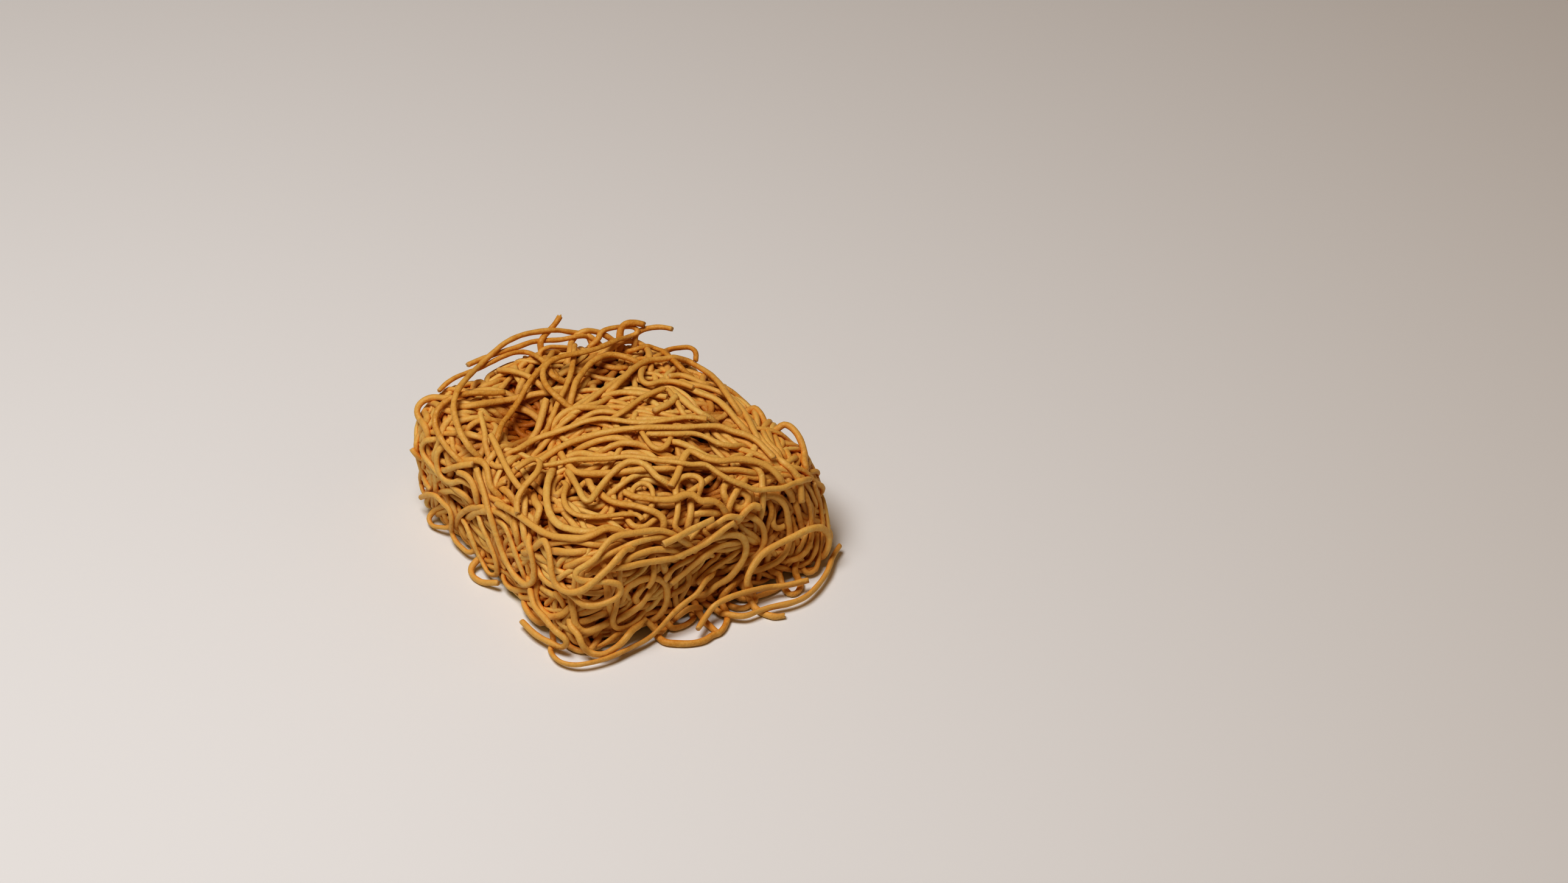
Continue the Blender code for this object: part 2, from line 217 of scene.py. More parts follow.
LEFT = (  # the left face and the valley
    (0, 0.4, 0, ((700, 735), (697, 750), (705, 765), (720, 775))),
    (0, 0.45, 0, ((735, 745), (738, 760), (742, 775), (735, 785))),
    (0, 0.4, 0, ((822, 800), (838, 812), (845, 825))),
    (0, 0.4, 0, ((900, 935), (888, 925), (880, 915))),
    (0, 0.45, 0, ((840, 765), (855, 762), (870, 770))),
    (1, 0.35, 2, ((691, 712), (685, 722), (684, 738), (688, 755), (694, 775), (700, 792), (708, 803))),
    (1, 0.35, 0, ((712, 722), (700, 723), (693, 735), (696, 748), (705, 760), (715, 772), (725, 785),
        (738, 795))),
    (1, 0.35, 0, ((730, 732), (720, 740), (717, 755), (719, 770), (727, 785), (742, 793), (758, 789),
        (770, 795))),
    (1, 0.4, 1, ((677, 738), (685, 748), (697, 755))),
    (1, 0.4, 0, ((725, 808), (745, 806), (755, 812))),
    (1, 0.4, 0, ((741, 797), (752, 806), (765, 815), (773, 823))),
    (1, 0.45, 0, ((770, 850), (785, 840), (803, 838), (822, 843), (838, 856))),
    (1, 0.45, 0, ((748, 868), (753, 850), (765, 838), (785, 833), (800, 834))),
    (1, 0.45, 0, ((725, 832), (712, 840), (704, 852), (710, 863), (725, 866), (737, 868))),
    (1, 0.4, 0, ((845, 858), (848, 875), (852, 890))),
    (1, 0.35, 0, ((818, 855), (828, 862), (836, 878), (843, 897), (851, 918), (859, 940), (866, 955))),
    (1, 0.35, 0, ((862, 818), (862, 840), (859, 862), (864, 885), (877, 908), (895, 920))),
    (1, 0.45, 0, ((880, 826), (887, 835), (883, 848), (880, 862))),
    (1, 0.45, 0, ((825, 947), (833, 962), (850, 970), (868, 970))),
    (1, 0.4, 0, ((850, 984), (866, 982), (880, 980))),
    (1, 0.35, 0, ((880, 925), (887, 943), (900, 957), (917, 966))),
    (1, 0.35, 0, ((892, 967), (905, 975), (925, 977))),
    (1, 0.5, 0, ((858, 988), (870, 1008), (888, 1027))),
    (2, 0.4, 1, ((753, 775), (766, 781), (776, 793), (781, 808), (784, 823))),
    (2, 0.35, 1, ((691, 817), (705, 812), (717, 815), (727, 826), (738, 836), (742, 852), (742, 872),
        (748, 888), (760, 900), (770, 910))),
    (2, 0.35, 0, ((763, 857), (772, 878), (782, 902), (795, 928), (806, 944), (815, 944), (816, 930),
        (811, 910), (802, 888), (793, 868), (786, 848))),
    (2, 0.45, 1, ((783, 770), (788, 787), (795, 808), (802, 835), (810, 862), (818, 887), (827, 912),
        (839, 936), (853, 953), (866, 961), (876, 954), (877, 936), (873, 912), (868, 893))),
    (2, 0.5, 0, ((757, 757), (775, 756), (790, 757), (799, 766), (802, 782), (805, 797), (809, 803))),
    (2, 0.45, 2, ((740, 769), (757, 764), (776, 762))),
    (2, 0.35, 1, ((806, 714), (813, 727), (821, 745), (831, 766), (842, 785), (853, 800))),
    (3, 0.55, 3, ((849, 769), (862, 760), (876, 754), (886, 757), (885, 770), (872, 787), (858, 803),
        (849, 822), (850, 842))),
    (2, 0.45, 2, ((783, 921), (774, 932), (775, 946), (787, 955), (803, 957), (817, 957))),
)
BACK = (  # the pile at the back, with its loose arcs
    (0, 0.55, 0, ((765, 707), (775, 697), (790, 690), (808, 689), (822, 696))),
    (0, 0.55, 0, ((840, 668), (858, 672), (876, 681), (888, 692))),
    (0, 0.6, 0, ((855, 600), (870, 592), (885, 590))),
    (0, 0.6, 0, ((838, 605), (850, 597), (865, 590))),
    (0, 0.6, 0, ((785, 640), (800, 633), (820, 625))),
    (0, 0.5, 0, ((780, 628), (790, 627), (797, 637), (805, 640))),
    (0, 0.55, 0, ((722, 688), (727, 675), (740, 665), (755, 660))),
    (0, 0.55, 0, ((700, 710), (720, 710), (745, 712), (760, 708))),
    (0, 0.5, 0, ((765, 712), (785, 717), (803, 725))),
    (0, 0.6, 0, ((990, 600), (1015, 605), (1040, 600))),
    (0, 0.6, 0, ((950, 605), (970, 590), (985, 575))),
    (0, 0.6, 0, ((1075, 605), (1095, 603), (1115, 610), (1130, 620))),
    (1, 0.5, 1, ((897, 657), (893, 673), (888, 690), (883, 706), (873, 722))),
    (1, 0.5, 0, ((908, 645), (885, 646), (862, 651), (838, 656), (812, 660), (785, 664), (762, 668))),
    (1, 0.55, 1, ((820, 608), (835, 608), (852, 612), (868, 618), (882, 628), (893, 638))),
    (1, 0.5, 0, ((731, 654), (710, 653), (694, 659), (685, 671), (687, 685), (697, 697), (702, 708))),
    (1, 0.5, 0, ((695, 673), (702, 685), (698, 700))),
    (2, 0.75, 0, ((905, 583), (895, 598), (880, 614), (868, 630), (858, 648), (848, 665), (836, 682),
        (824, 698), (819, 712))),
    (2, 0.7, 1, ((944, 567), (942, 590), (938, 612), (931, 632), (921, 652), (911, 675), (903, 695),
        (895, 715))),
    (2, 0.7, 1, ((829, 644), (810, 646), (788, 645), (768, 646), (748, 651), (732, 659), (720, 671),
        (714, 687), (716, 703), (723, 718), (733, 733), (745, 747), (757, 758))),
    (2, 0.65, 0, ((941, 645), (945, 630), (957, 612), (970, 597), (985, 587), (1003, 582), (1022, 585),
        (1040, 591), (1053, 598))),
    (2, 0.55, 0, ((1005, 640), (1025, 620), (1045, 602), (1065, 592), (1085, 590), (1108, 588), (1130, 593),
        (1150, 604), (1167, 615), (1183, 631), (1196, 650), (1208, 668))),
    (2, 0.7, 0, ((902, 605), (908, 617), (918, 622))),
    (2, 0.65, 0, ((1000, 574), (1018, 563), (1036, 560), (1053, 565), (1065, 576), (1067, 592))),
    (2, 0.65, 0, ((937, 573), (939, 560), (948, 550), (960, 545), (976, 544), (992, 549), (1005, 558),
        (1017, 568))),
    (3, 0.75, 0, ((985, 545), (1003, 539), (1025, 537), (1043, 538), (1049, 544), (1036, 552), (1015, 558),
        (992, 568), (965, 577), (940, 582), (915, 588), (900, 596), (893, 606), (892, 620), (898, 634),
        (908, 645), (918, 654))),
    (2, 0.75, 2, ((1040, 547), (1055, 541), (1070, 538), (1087, 537), (1103, 540))),
    (2, 0.75, 2, ((1018, 540), (1023, 531), (1034, 528), (1046, 530), (1058, 533))),
    (2, 0.75, 2, ((1070, 588), (1085, 582), (1100, 574), (1118, 571), (1135, 571), (1143, 577), (1143, 592))),
    (2, 0.75, 0, ((1040, 575), (1058, 570), (1073, 571), (1090, 579), (1105, 590), (1120, 605))),
    (1, 0.75, 0, ((885, 575), (905, 570), (925, 570), (945, 572))),
    (2, 0.8, 2, ((885, 562), (897, 548), (908, 537), (915, 528), (919, 521))),
    (2, 0.75, 1, ((769, 599), (790, 590), (810, 583), (830, 576), (850, 570), (872, 562), (895, 559),
        (920, 558), (945, 553), (970, 548))),
    (2, 0.75, 1, ((722, 641), (733, 630), (748, 620), (768, 612), (787, 605), (805, 596), (825, 586),
        (845, 579), (862, 578), (880, 584), (893, 593), (903, 605))),
    (3, 0.7, 0, ((772, 736), (758, 714), (749, 690), (745, 665), (751, 643), (766, 622), (785, 603),
        (806, 583), (830, 563), (858, 550), (890, 544), (915, 542), (940, 546), (965, 549))),
)
RIGHT = (  # the right end
    (0, 0.65, 0, ((1305, 820), (1312, 845), (1318, 870))),
    (0, 0.65, 0, ((1262, 820), (1268, 840), (1262, 862), (1255, 880))),
    (0, 0.65, 0, ((1300, 850), (1306, 870), (1310, 893))),
    (0, 0.65, 0, ((1275, 875), (1262, 890), (1250, 905))),
    (0, 0.6, 0, ((1240, 665), (1252, 685), (1260, 705), (1266, 725), (1273, 742))),
    (0, 0.6, 0, ((1262, 700), (1272, 715), (1278, 732), (1288, 748))),
    (0, 0.6, 2, ((1290, 735), (1296, 750), (1302, 765))),
    (0, 0.6, 0, ((1305, 742), (1317, 755), (1319, 775), (1318, 790))),
    (1, 0.55, 0, ((1290, 692), (1304, 705), (1315, 722), (1321, 742), (1321, 765))),
    (1, 0.5, 2, ((1269, 850), (1270, 863), (1279, 868), (1288, 864))),
    (1, 0.6, 0, ((1318, 803), (1328, 823), (1333, 857), (1333, 882), (1325, 905), (1308, 918), (1290, 921))),
    (1, 0.6, 0, ((1342, 880), (1340, 903), (1330, 920), (1310, 931))),
    (1, 0.5, 0, ((1247, 813), (1273, 815), (1288, 828), (1295, 857), (1297, 885), (1293, 903), (1280, 920),
        (1257, 932), (1233, 940))),
    (1, 0.6, 2, ((1275, 931), (1297, 935), (1322, 937), (1342, 935))),
    (1, 0.55, 1, ((1337, 795), (1344, 815), (1349, 838), (1352, 862), (1351, 888), (1346, 910), (1341, 932),
        (1328, 950))),
    (3, 0.45, 0, ((1237, 988), (1228, 970), (1228, 950), (1237, 930), (1250, 912), (1272, 897), (1305, 881),
        (1330, 869), (1350, 867), (1361, 880), (1361, 897), (1355, 911))),
)
FOOT = (  # strands that lie on the floor in front
    (0, 0.65, 0, ((932, 1060), (950, 1068), (972, 1068))),
    (0, 0.55, 0, ((975, 1066), (993, 1057), (1013, 1042))),
    (0, 0.7, 0, ((1100, 1035), (1125, 1027), (1145, 1015))),
    (0, 0.7, 0, ((1205, 960), (1190, 975), (1180, 990))),
    (0, 0.65, 0, ((1215, 985), (1235, 982), (1258, 975), (1285, 965))),
    (0, 0.65, 0, ((1188, 988), (1203, 997), (1225, 1000), (1248, 994))),
    (0, 0.65, 0, ((1318, 963), (1309, 977), (1300, 988))),
    (0, 0.6, 0, ((1083, 1045), (1097, 1028), (1117, 1010), (1137, 998), (1148, 999), (1150, 1009))),
    (1, 0.55, 0, ((951, 1045), (957, 1060), (972, 1073), (990, 1075), (1008, 1066), (1023, 1054),
        (1036, 1038))),
    (0, 0.6, 2, ((1240, 1008), (1257, 1016), (1272, 1017), (1288, 1011))),
    (0, 0.65, 2, ((1160, 1026), (1178, 1042))),
    (0, 0.65, 0, ((1078, 1046), (1090, 1056), (1115, 1058), (1140, 1057), (1157, 1053), (1172, 1043),
        (1187, 1036), (1195, 1023), (1197, 1010))),
    (1, 0.55, 1, ((858, 1021), (880, 1042), (908, 1057), (925, 1063), (931, 1057), (910, 1034), (893, 1013),
        (878, 996), (873, 978))),
    (1, 0.55, 0, ((902, 1068), (917, 1085), (942, 1092), (967, 1089), (1000, 1080), (1033, 1065),
        (1067, 1047), (1088, 1027), (1105, 1008), (1125, 990), (1147, 973), (1156, 958))),
    (1, 0.5, 1, ((1379, 897), (1368, 915), (1360, 937), (1347, 957), (1322, 981), (1297, 991), (1272, 996),
        (1247, 1003), (1222, 1012), (1200, 1010), (1180, 1006))),
    (2, 0.45, 3, ((1147, 1032), (1160, 1012), (1173, 995), (1197, 982), (1223, 973), (1260, 965), (1288, 962),
        (1327, 953))),
)


# ---------------------------------------------------------------- the block's form


def length_of(vectors, least=1e-6):
    """The length of each vector, kept from being nothing where it divides."""
    return np.maximum(np.linalg.norm(vectors, axis=-1, keepdims=True), least)


def bell(off, spread):
    """A Gaussian: 1 in the middle and exp(-1/2) as far off as the spread."""
    return np.exp(-0.5 * ((off / spread) ** 2).sum(axis=-1))


def form(point):
    """Distance from the rounded box, less a Gaussian for each swell: negative inside, with no floor."""
    off = np.abs(point - np.array((0.0, 0.0, CENTRE_HEIGHT))) - (HALF_SIZE - CORNER_ROUND)
    outside = np.sqrt((np.maximum(off, 0.0) ** 2).sum(axis=-1))
    distance = outside + np.minimum(off.max(axis=-1), 0.0) - CORNER_ROUND
    for centre, spread, amount in SWELLS:
        distance = distance - amount * bell(point - np.array(centre), np.array(spread))
    return distance


def heap(point):
    """The form with its floor: the smooth maximum of the form and of the depth under z = 0."""
    side, under = form(point), -point[..., 2]
    overlap = np.maximum(FLOOR_BLEND - np.abs(side - under), 0.0) / FLOOR_BLEND
    return np.maximum(side, under) + overlap**2 * FLOOR_BLEND / 4.0


def outward(point):
    """The unit gradient of the heap, from its values at the corners of a small tetrahedron."""
    corners = np.array(((1, -1, -1), (-1, -1, 1), (-1, 1, -1), (1, 1, 1)), float)
    slope = sum(corner * heap(point + corner * NUDGE)[..., None] for corner in corners)
    return slope / length_of(slope)


def put_at_depth(point, depth, rounds):
    """Moves points straight in or out until each is at its depth under the heap's surface."""
    for _ in range(rounds):
        point = point - outward(point) * (heap(point) + depth)[..., None]
    return point


def soft_step(value, low, high):
    """0 at low and 1 at high, smooth in between."""
    part = np.clip((value - low) / (high - low), 0.0, 1.0)
    return part * part * (3.0 - 2.0 * part)


# ---------------------------------------------------------------- carrying the routes onto the form

LEVEL_LIFTS = (-3.0, -1.8, -0.5, 0.9)  # how far each level's middle line is above the form
BACK_LIFTS = (-3.2, -1.5, 0.3, 2.6)  # the loose pile at the back stands higher
FOOT_LIFTS = (0.0, 1.8, 3.4)  # above the form and above the floor
TAIL = 30.0  # pixels by which a hidden end runs on
TAIL_LOOSE = 0.9  # the share of a tail that isn't held
DIVE_REACH = 44.0  # pixels over which a hidden end goes down
DIVE = 4.5  # how far down it goes
DIVE_POWER = 1.5  # how late it goes down
HEADROOM = 0.8  # how far above its lift a noodle of the photograph may be pushed
LINE_POINTS = 200  # of the curve through a route, in the picture
LINE_SMOOTHINGS = 30  # of the curve's distances from the camera
ROUTE_STEP = 0.8  # between points along a noodle that follows a route
LEAST_STEPS = 6  # of the shortest of them
NEAR, FAR = 860.0, 1180.0  # distances from the camera between which the block lies
MEET_ROUNDS, MEET_SHARE = 90, 0.8  # steps along a sight line, each this share of the distance that is left
MISSED = 0.05  # a sight line that never comes nearer than this passes by
NEAREST_ROUNDS, NEAREST_SPAN = 22, 3.0  # closing in by thirds on where it passes nearest


def sight_lines(pixels):
    """Unit directions from the camera through points of the photograph."""
    off = (pixels - PICTURE_MIDDLE) / FOCAL
    way = CAMERA_AHEAD + off[..., :1] * CAMERA_RIGHT - off[..., 1:] * CAMERA_UP
    return way / length_of(way)


def distance_along(points):
    """How far along their line each of the points lies."""
    return np.concatenate([(0.0,), np.cumsum(np.linalg.norm(np.diff(points, axis=0), axis=1))])


def through(points, count):
    """A smooth curve through points: on each stretch the cubic that has the mean slopes at its two ends."""
    at = distance_along(points)
    slope = np.gradient(points, at, axis=0)
    where = np.linspace(0.0, at[-1], count)
    part = np.clip(np.searchsorted(at, where, "right") - 1, 0, len(at) - 2)
    width = (at[part + 1] - at[part])[:, None]
    s = (where[:, None] - at[part][:, None]) / width
    start, end = points[part], points[part + 1]
    rise = (3.0 - 2.0 * s) * s * s
    leaving = width * slope[part] * s * (1.0 - s) ** 2
    arriving = width * slope[part + 1] * s * s * (1.0 - s)
    return start + (end - start) * rise + leaving - arriving


def meet(way, lift, on_floor):
    """Where each sight line first comes to its lift above the heap, or else where it passes nearest.

    A foot's strand lies on whichever comes first of the heap and the floor.
    """

    def gap(reach):
        point = CAMERA_PLACE + way * reach[..., None]
        above = heap(point) - lift
        over_floor = point[..., 2] - RADIUS - np.maximum(lift, 0.0)
        return np.where(on_floor, np.minimum(above, over_floor), above)

    reach = np.full(lift.shape, NEAR)
    best, least = reach.copy(), np.full(lift.shape, 1e9)
    for _ in range(MEET_ROUNDS):
        distance = gap(reach)
        better = distance < least
        best, least = np.where(better, reach, best), np.where(better, distance, least)
        reach = np.minimum(reach + np.maximum(distance * MEET_SHARE, 0.0), FAR)
    low, high = best - NEAREST_SPAN, best + NEAREST_SPAN
    for _ in range(NEAREST_ROUNDS):
        first, second = low + (high - low) / 3.0, high - (high - low) / 3.0
        nearer = gap(first) < gap(second)
        low, high = np.where(nearer, low, first), np.where(nearer, second, high)
    return np.where(least > MISSED, (low + high) / 2.0, best)


def tail_end(end, before):
    """Where a tail ends that runs on from the end of a route, straight away from the point before it."""
    return end + (end - before) / np.linalg.norm(end - before) * TAIL


def carry_route(pixels, level, free, lifts, on_floor):
    """One noodle of the photograph on the block: for each point a row of its place, its ceiling and its hold.

    A tail goes on past each end that dives. It isn't held, and its ceiling draws it into the heap.
    """
    pixels = np.array(pixels, float)
    free_first, free_last = free & 1, free >> 1
    if not free_first:
        pixels = np.vstack([tail_end(pixels[0], pixels[1]), pixels])
    if not free_last:
        pixels = np.vstack([pixels, tail_end(pixels[-1], pixels[-2])])
    line = through(pixels, LINE_POINTS)
    from_first = distance_along(line)
    from_last = from_first[-1] - from_first
    lift = np.full(len(line), lifts[level])
    for is_free, away in ((free_first, from_first), (free_last, from_last)):
        if not is_free:
            lift = lift - DIVE * np.clip(1.0 - away / DIVE_REACH, 0.0, 1.0) ** DIVE_POWER
    way = sight_lines(line)
    reach = meet(way, lift, on_floor)
    for _ in range(LINE_SMOOTHINGS):
        reach[1:-1] = (reach[:-2] + 2.0 * reach[1:-1] + reach[2:]) / 4.0
    point = CAMERA_PLACE + way * reach[:, None]
    shown = np.minimum(from_first + TAIL * free_first, from_last + TAIL * free_last) > TAIL_LOOSE * TAIL
    ceiling = -np.where(shown, np.maximum(heap(point), lift), lift) - HEADROOM
    length = distance_along(point)
    where = np.linspace(0.0, length[-1], max(int(length[-1] / ROUTE_STEP), LEAST_STEPS) + 1)
    columns = (*point.T, ceiling, shown.astype(float))
    return np.stack([np.interp(where, length, column) for column in columns], axis=-1)


def photographed_noodles():
    """All the routes, carried onto the block, and their tones."""
    rows, tones = [], []
    for routes, lifts, on_floor in (
        (CROWN, LEVEL_LIFTS, False),
        (MIDDLE, LEVEL_LIFTS, False),
        (FRONT, LEVEL_LIFTS, False),
        (LEFT, LEVEL_LIFTS, False),
        (BACK, BACK_LIFTS, False),
        (RIGHT, LEVEL_LIFTS, False),
        (FOOT, FOOT_LIFTS, True),
    ):
        for level, tone, free, pixels in routes:
            rows.append(carry_route(pixels, level, free, lifts, on_floor))
            tones.append(tone)
    return rows, tones


# ---------------------------------------------------------------- how the other noodles run

SWIRLS = (  # centre, spread, strength: noodles circle each of these hills
    ((0, -22, 38), (26, 22, 26), 1.0),
    ((-36, 26, 34), (18, 18, 18), -0.7),
    ((30, -46, 10), (16, 16, 14), 0.5),
    ((-20, -46, 12), (14, 14, 12), -0.5),
    ((48, 10, 14), (16, 20, 16), 0.6),
    ((-48, -10, 14), (14, 14, 14), 0.5),
    ((0, 46, 14), (24, 16, 16), 0.6),
)
LEVEL_PULL = 0.02  # how strongly noodles on the sides run level
STRAY_WAVES = 5  # waves of random aim that make the flow uneven
STRAY_WAVELENGTH = 46.0
STRAY_STRENGTH = 0.22  # beside the swirls' strengths
FLOW_PULL = 0.06  # radians a millimetre, the most that the flow turns a noodle
COMB_PULL = 0.9  # how strongly the photograph's noodles turn the walked ones near them
COMB_CELL = 4.0  # the grid that holds how they run: the side, the first corner and the numbers of its cells
COMB_CORNER = np.array((-72.0, -76.0, -8.0))
COMB_CELLS = (36, 36, 18)
COVERED = 2.3  # how much deeper the walked noodles stay under those of the photograph
IN_SIGHT = (-0.05, 0.2)  # cosines between which the surface comes to face the camera

# How the walked noodles go. A wave is its least and most strength and its least and most wavelength.
START_BOX = ((-48.0, -46.0, 1.0), (48.0, 46.0, 42.0))
START_POOL, START_ROUNDS = 1500, 4  # points from which the starts are chosen, and moves to their depth
START_ASTRAY = 0.4  # radians, the spread of a start's heading about the flow
CURL_WAVES = ((0.01, 0.08, 16.0, 30.0), (0.02, 0.06, 35.0, 70.0))  # strengths in radians a millimetre
DEPTH_WAVE = (0.2, 1.1, 32.0, 70.0)
BENDS = 2  # sharp bends of a noodle at most
BEND_PLACES = (0.0, 1.6)  # shares of a noodle's length, beyond 1 of which it has no such bend
BEND_TURN, BEND_LENGTH = 0.2, 6.5  # radians a millimetre, and half of the length that bends
END_DIVES, END_LENGTH = (-1.0, 5.0), 9.0  # how far an end goes down, if above 0, and over what length
SHALLOWEST = 0.7  # share of the radius

HOLLOWS = (  # a point of the photograph, how wide and how deep the gap between the noodles is there
    ((862, 688), 2.8, 10.0),
    ((877, 703), 2.5, 9.0),
    ((846, 668), 1.9, 6.0),
    ((852, 716), 1.9, 6.0),
    ((784, 737), 1.8, 5.0),
    ((872, 808), 2.4, 7.0),
    ((898, 858), 2.0, 6.0),
    ((1165, 795), 3.6, 8.0),
    ((1166, 838), 2.8, 7.0),
    ((1075, 845), 2.8, 6.5),
    ((1045, 715), 2.2, 6.0),
    ((1150, 735), 2.2, 6.0),
    ((1285, 845), 3.2, 7.0),
    ((985, 598), 3.0, 7.0),
    ((1175, 672), 2.6, 6.0),
    ((985, 1020), 2.2, 6.0),
    ((1052, 1035), 2.2, 6.0),
)
HOLLOW_ABOVE = 4.0  # how far before the form a hollow begins
HOLLOW_PUSH = 0.3  # the share of the way to a hollow's rim that a noodle in it is moved at a time
HOLLOW_MIDDLE = 0.3  # a point nearer the sight line than this is moved as if it were this far off
HOLLOW_SPREAD = 1.5  # how much wider than its gap a hollow's painted shade and its sinking reach
HOLLOW_SINK = 0.3  # the share of a hollow's depth by which the walked noodles at it lie deeper
HOLLOW_SHADE_SPAN = (1.8, 6.5)  # under the form, where the painted shade of a hollow's noodles begins and ends to darken
HOLLOW_DEEP = 3.5  # the depth of hollow whose painted shade is darkest
HOLLOW_LENGTH = 8.0  # how far a hollow goes on along its sight line


def hollow_lines():
    """The sight line of each hollow and where it meets the heap."""
    ways = sight_lines(np.array([pixel for pixel, _, _ in HOLLOWS], float))
    return ways, CAMERA_PLACE + ways * meet(ways, np.zeros(len(ways)), False)[:, None]


HOLLOW_WAYS, HOLLOW_MOUTHS = hollow_lines()


def hollowed(point):
    """How deep the hollows are at a point: a Gaussian across each sight line, and a longer one along it."""
    extra = 0.0
    for (_, width, depth), way, mouth in zip(HOLLOWS, HOLLOW_WAYS, HOLLOW_MOUTHS):
        off = point - mouth
        ahead = off @ way
        aside = (off**2).sum(axis=-1) - ahead**2
        square = aside / (HOLLOW_SPREAD * width) ** 2 + (ahead / HOLLOW_LENGTH) ** 2
        extra = extra + depth * np.exp(-0.5 * square)
    return extra


def covered(point, normal):
    """How much deeper the walked noodles lie: in hollows, and under those that follow the photograph."""
    return COVERED * soft_step(-(normal @ CAMERA_AHEAD), *IN_SIGHT) + HOLLOW_SINK * hollowed(point)


def stray_waves(rng):
    """Random wave vectors and phases for the unevenness of the flow."""
    aim = rng.normal(size=(STRAY_WAVES, 3))
    aim *= 2.0 * np.pi / STRAY_WAVELENGTH / length_of(aim)
    return aim, rng.uniform(0.0, 2.0 * np.pi, STRAY_WAVES)


def flow(point, normal, waves):
    """The direction along the surface that circles the swirls: the normal crossed with their hills' slope."""
    slope = np.zeros_like(point)
    slope[..., 2] = LEVEL_PULL
    for centre, spread, strength in SWIRLS:
        spread = np.array(spread, float)
        off = point - np.array(centre)
        hill = strength * bell(off, spread)
        slope = slope - hill[..., None] * off / spread**2
    aims, phases = waves
    for aim, phase in zip(aims, phases):
        slope = slope + STRAY_STRENGTH * aim * np.cos(point @ aim + phase)[..., None]
    along = np.cross(normal, slope)
    return along / length_of(along)


def combing(paths):
    """How the photograph's noodles run: in each cell, the blurred sum of their directions' outer products."""
    ahead = np.concatenate([np.gradient(path, axis=0) for path in paths])
    cells = np.floor((np.concatenate(paths) - COMB_CORNER) / COMB_CELL).astype(int)
    grid = np.zeros((*COMB_CELLS, 3, 3))
    np.add.at(grid, tuple(cells.T), ahead[:, :, None] * ahead[:, None, :])
    for axis in (0, 1, 2):
        grid = grid + 0.5 * (np.roll(grid, 1, axis) + np.roll(grid, -1, axis))
    return grid


def combed(point, heading, grid):
    """The heading turned to run like the photograph's noodles near by, and longer where there are more."""
    cells = np.clip(np.floor((point - COMB_CORNER) / COMB_CELL).astype(int), 0, np.array(COMB_CELLS) - 1)
    return np.einsum("nij,nj->ni", grid[tuple(cells.T)], heading)


def even_starts(count, depth, rng):
    """Points at a depth under the heap's surface, each chosen as far as can be from those before it."""
    pool = put_at_depth(rng.uniform(*START_BOX, (START_POOL, 3)), depth, START_ROUNDS)
    chosen = [0]
    gap = np.linalg.norm(pool - pool[0], axis=1)
    for _ in range(count - 1):
        chosen.append(int(gap.argmax()))
        gap = np.minimum(gap, np.linalg.norm(pool - pool[chosen[-1]], axis=1))
    return pool[chosen]


def sine(along, low, high, least, most, rng):
    """One sine for each noodle, its strength and wavelength drawn between limits."""
    count = len(along)
    strength = rng.uniform(low, high, count)[:, None]
    wavelength = rng.uniform(least, most, count)[:, None]
    return strength * np.sin(2.0 * np.pi * (along / wavelength + rng.uniform(0.0, 1.0, count)[:, None]))


def walk(starts, layer_depth, stops, rng, waves, grid):
    """Walks noodles over the heap, all at once.

    Each steps ahead, turns by its own waves, bends back towards the flow, and is put at its own depth,
    which rises and falls and goes deeper near most of the ends. Returns points by noodle and step.
    """
    count = len(starts)
    length = rng.uniform(*LENGTHS, count)
    step = length / (stops - 1)
    along = step[:, None] * np.arange(stops)
    curl = sum(sine(along, *wave, rng) for wave in CURL_WAVES)
    for _ in range(BENDS):
        where = rng.uniform(*BEND_PLACES, count)[:, None] * length[:, None]
        side = rng.choice((-1.0, 1.0), count)[:, None]
        curl = curl + side * BEND_TURN * np.exp(-(((along - where) / BEND_LENGTH) ** 4))
    depth = layer_depth + sine(along, *DEPTH_WAVE, rng)
    for end in (along, length[:, None] - along):
        dive = rng.uniform(*END_DIVES, count)[:, None]
        depth = depth + np.maximum(dive, 0.0) * np.exp(-((end / END_LENGTH) ** 2))
    depth = np.maximum(depth, RADIUS * SHALLOWEST)
    normal = outward(starts)
    sign = rng.choice((-1.0, 1.0), count)[:, None]
    astray = rng.normal(0.0, START_ASTRAY, count)[:, None]
    heading = sign * flow(starts, normal, waves)
    heading = np.cos(astray) * heading + np.sin(astray) * np.cross(normal, heading)
    point = starts
    path = np.empty((count, stops, 3))
    for index in range(stops):
        point = put_at_depth(point, depth[:, index] + covered(point, normal), rounds=1)
        path[:, index] = point
        normal = outward(point)
        heading = heading - normal * (heading * normal).sum(axis=-1, keepdims=True)
        heading /= length_of(heading)
        wish = sign * flow(point, normal, waves) + COMB_PULL * combed(point, heading, grid)
        wish /= length_of(wish, least=1.0)
        across = np.cross(normal, heading)
        lean = (wish * across).sum(axis=-1)
        turn = (curl[:, index] + FLOW_PULL * lean) * step
        heading = np.cos(turn)[:, None] * heading + np.sin(turn)[:, None] * across
        point = point + heading * step[:, None]
    return path


# ---------------------------------------------------------------- pushing the noodles apart

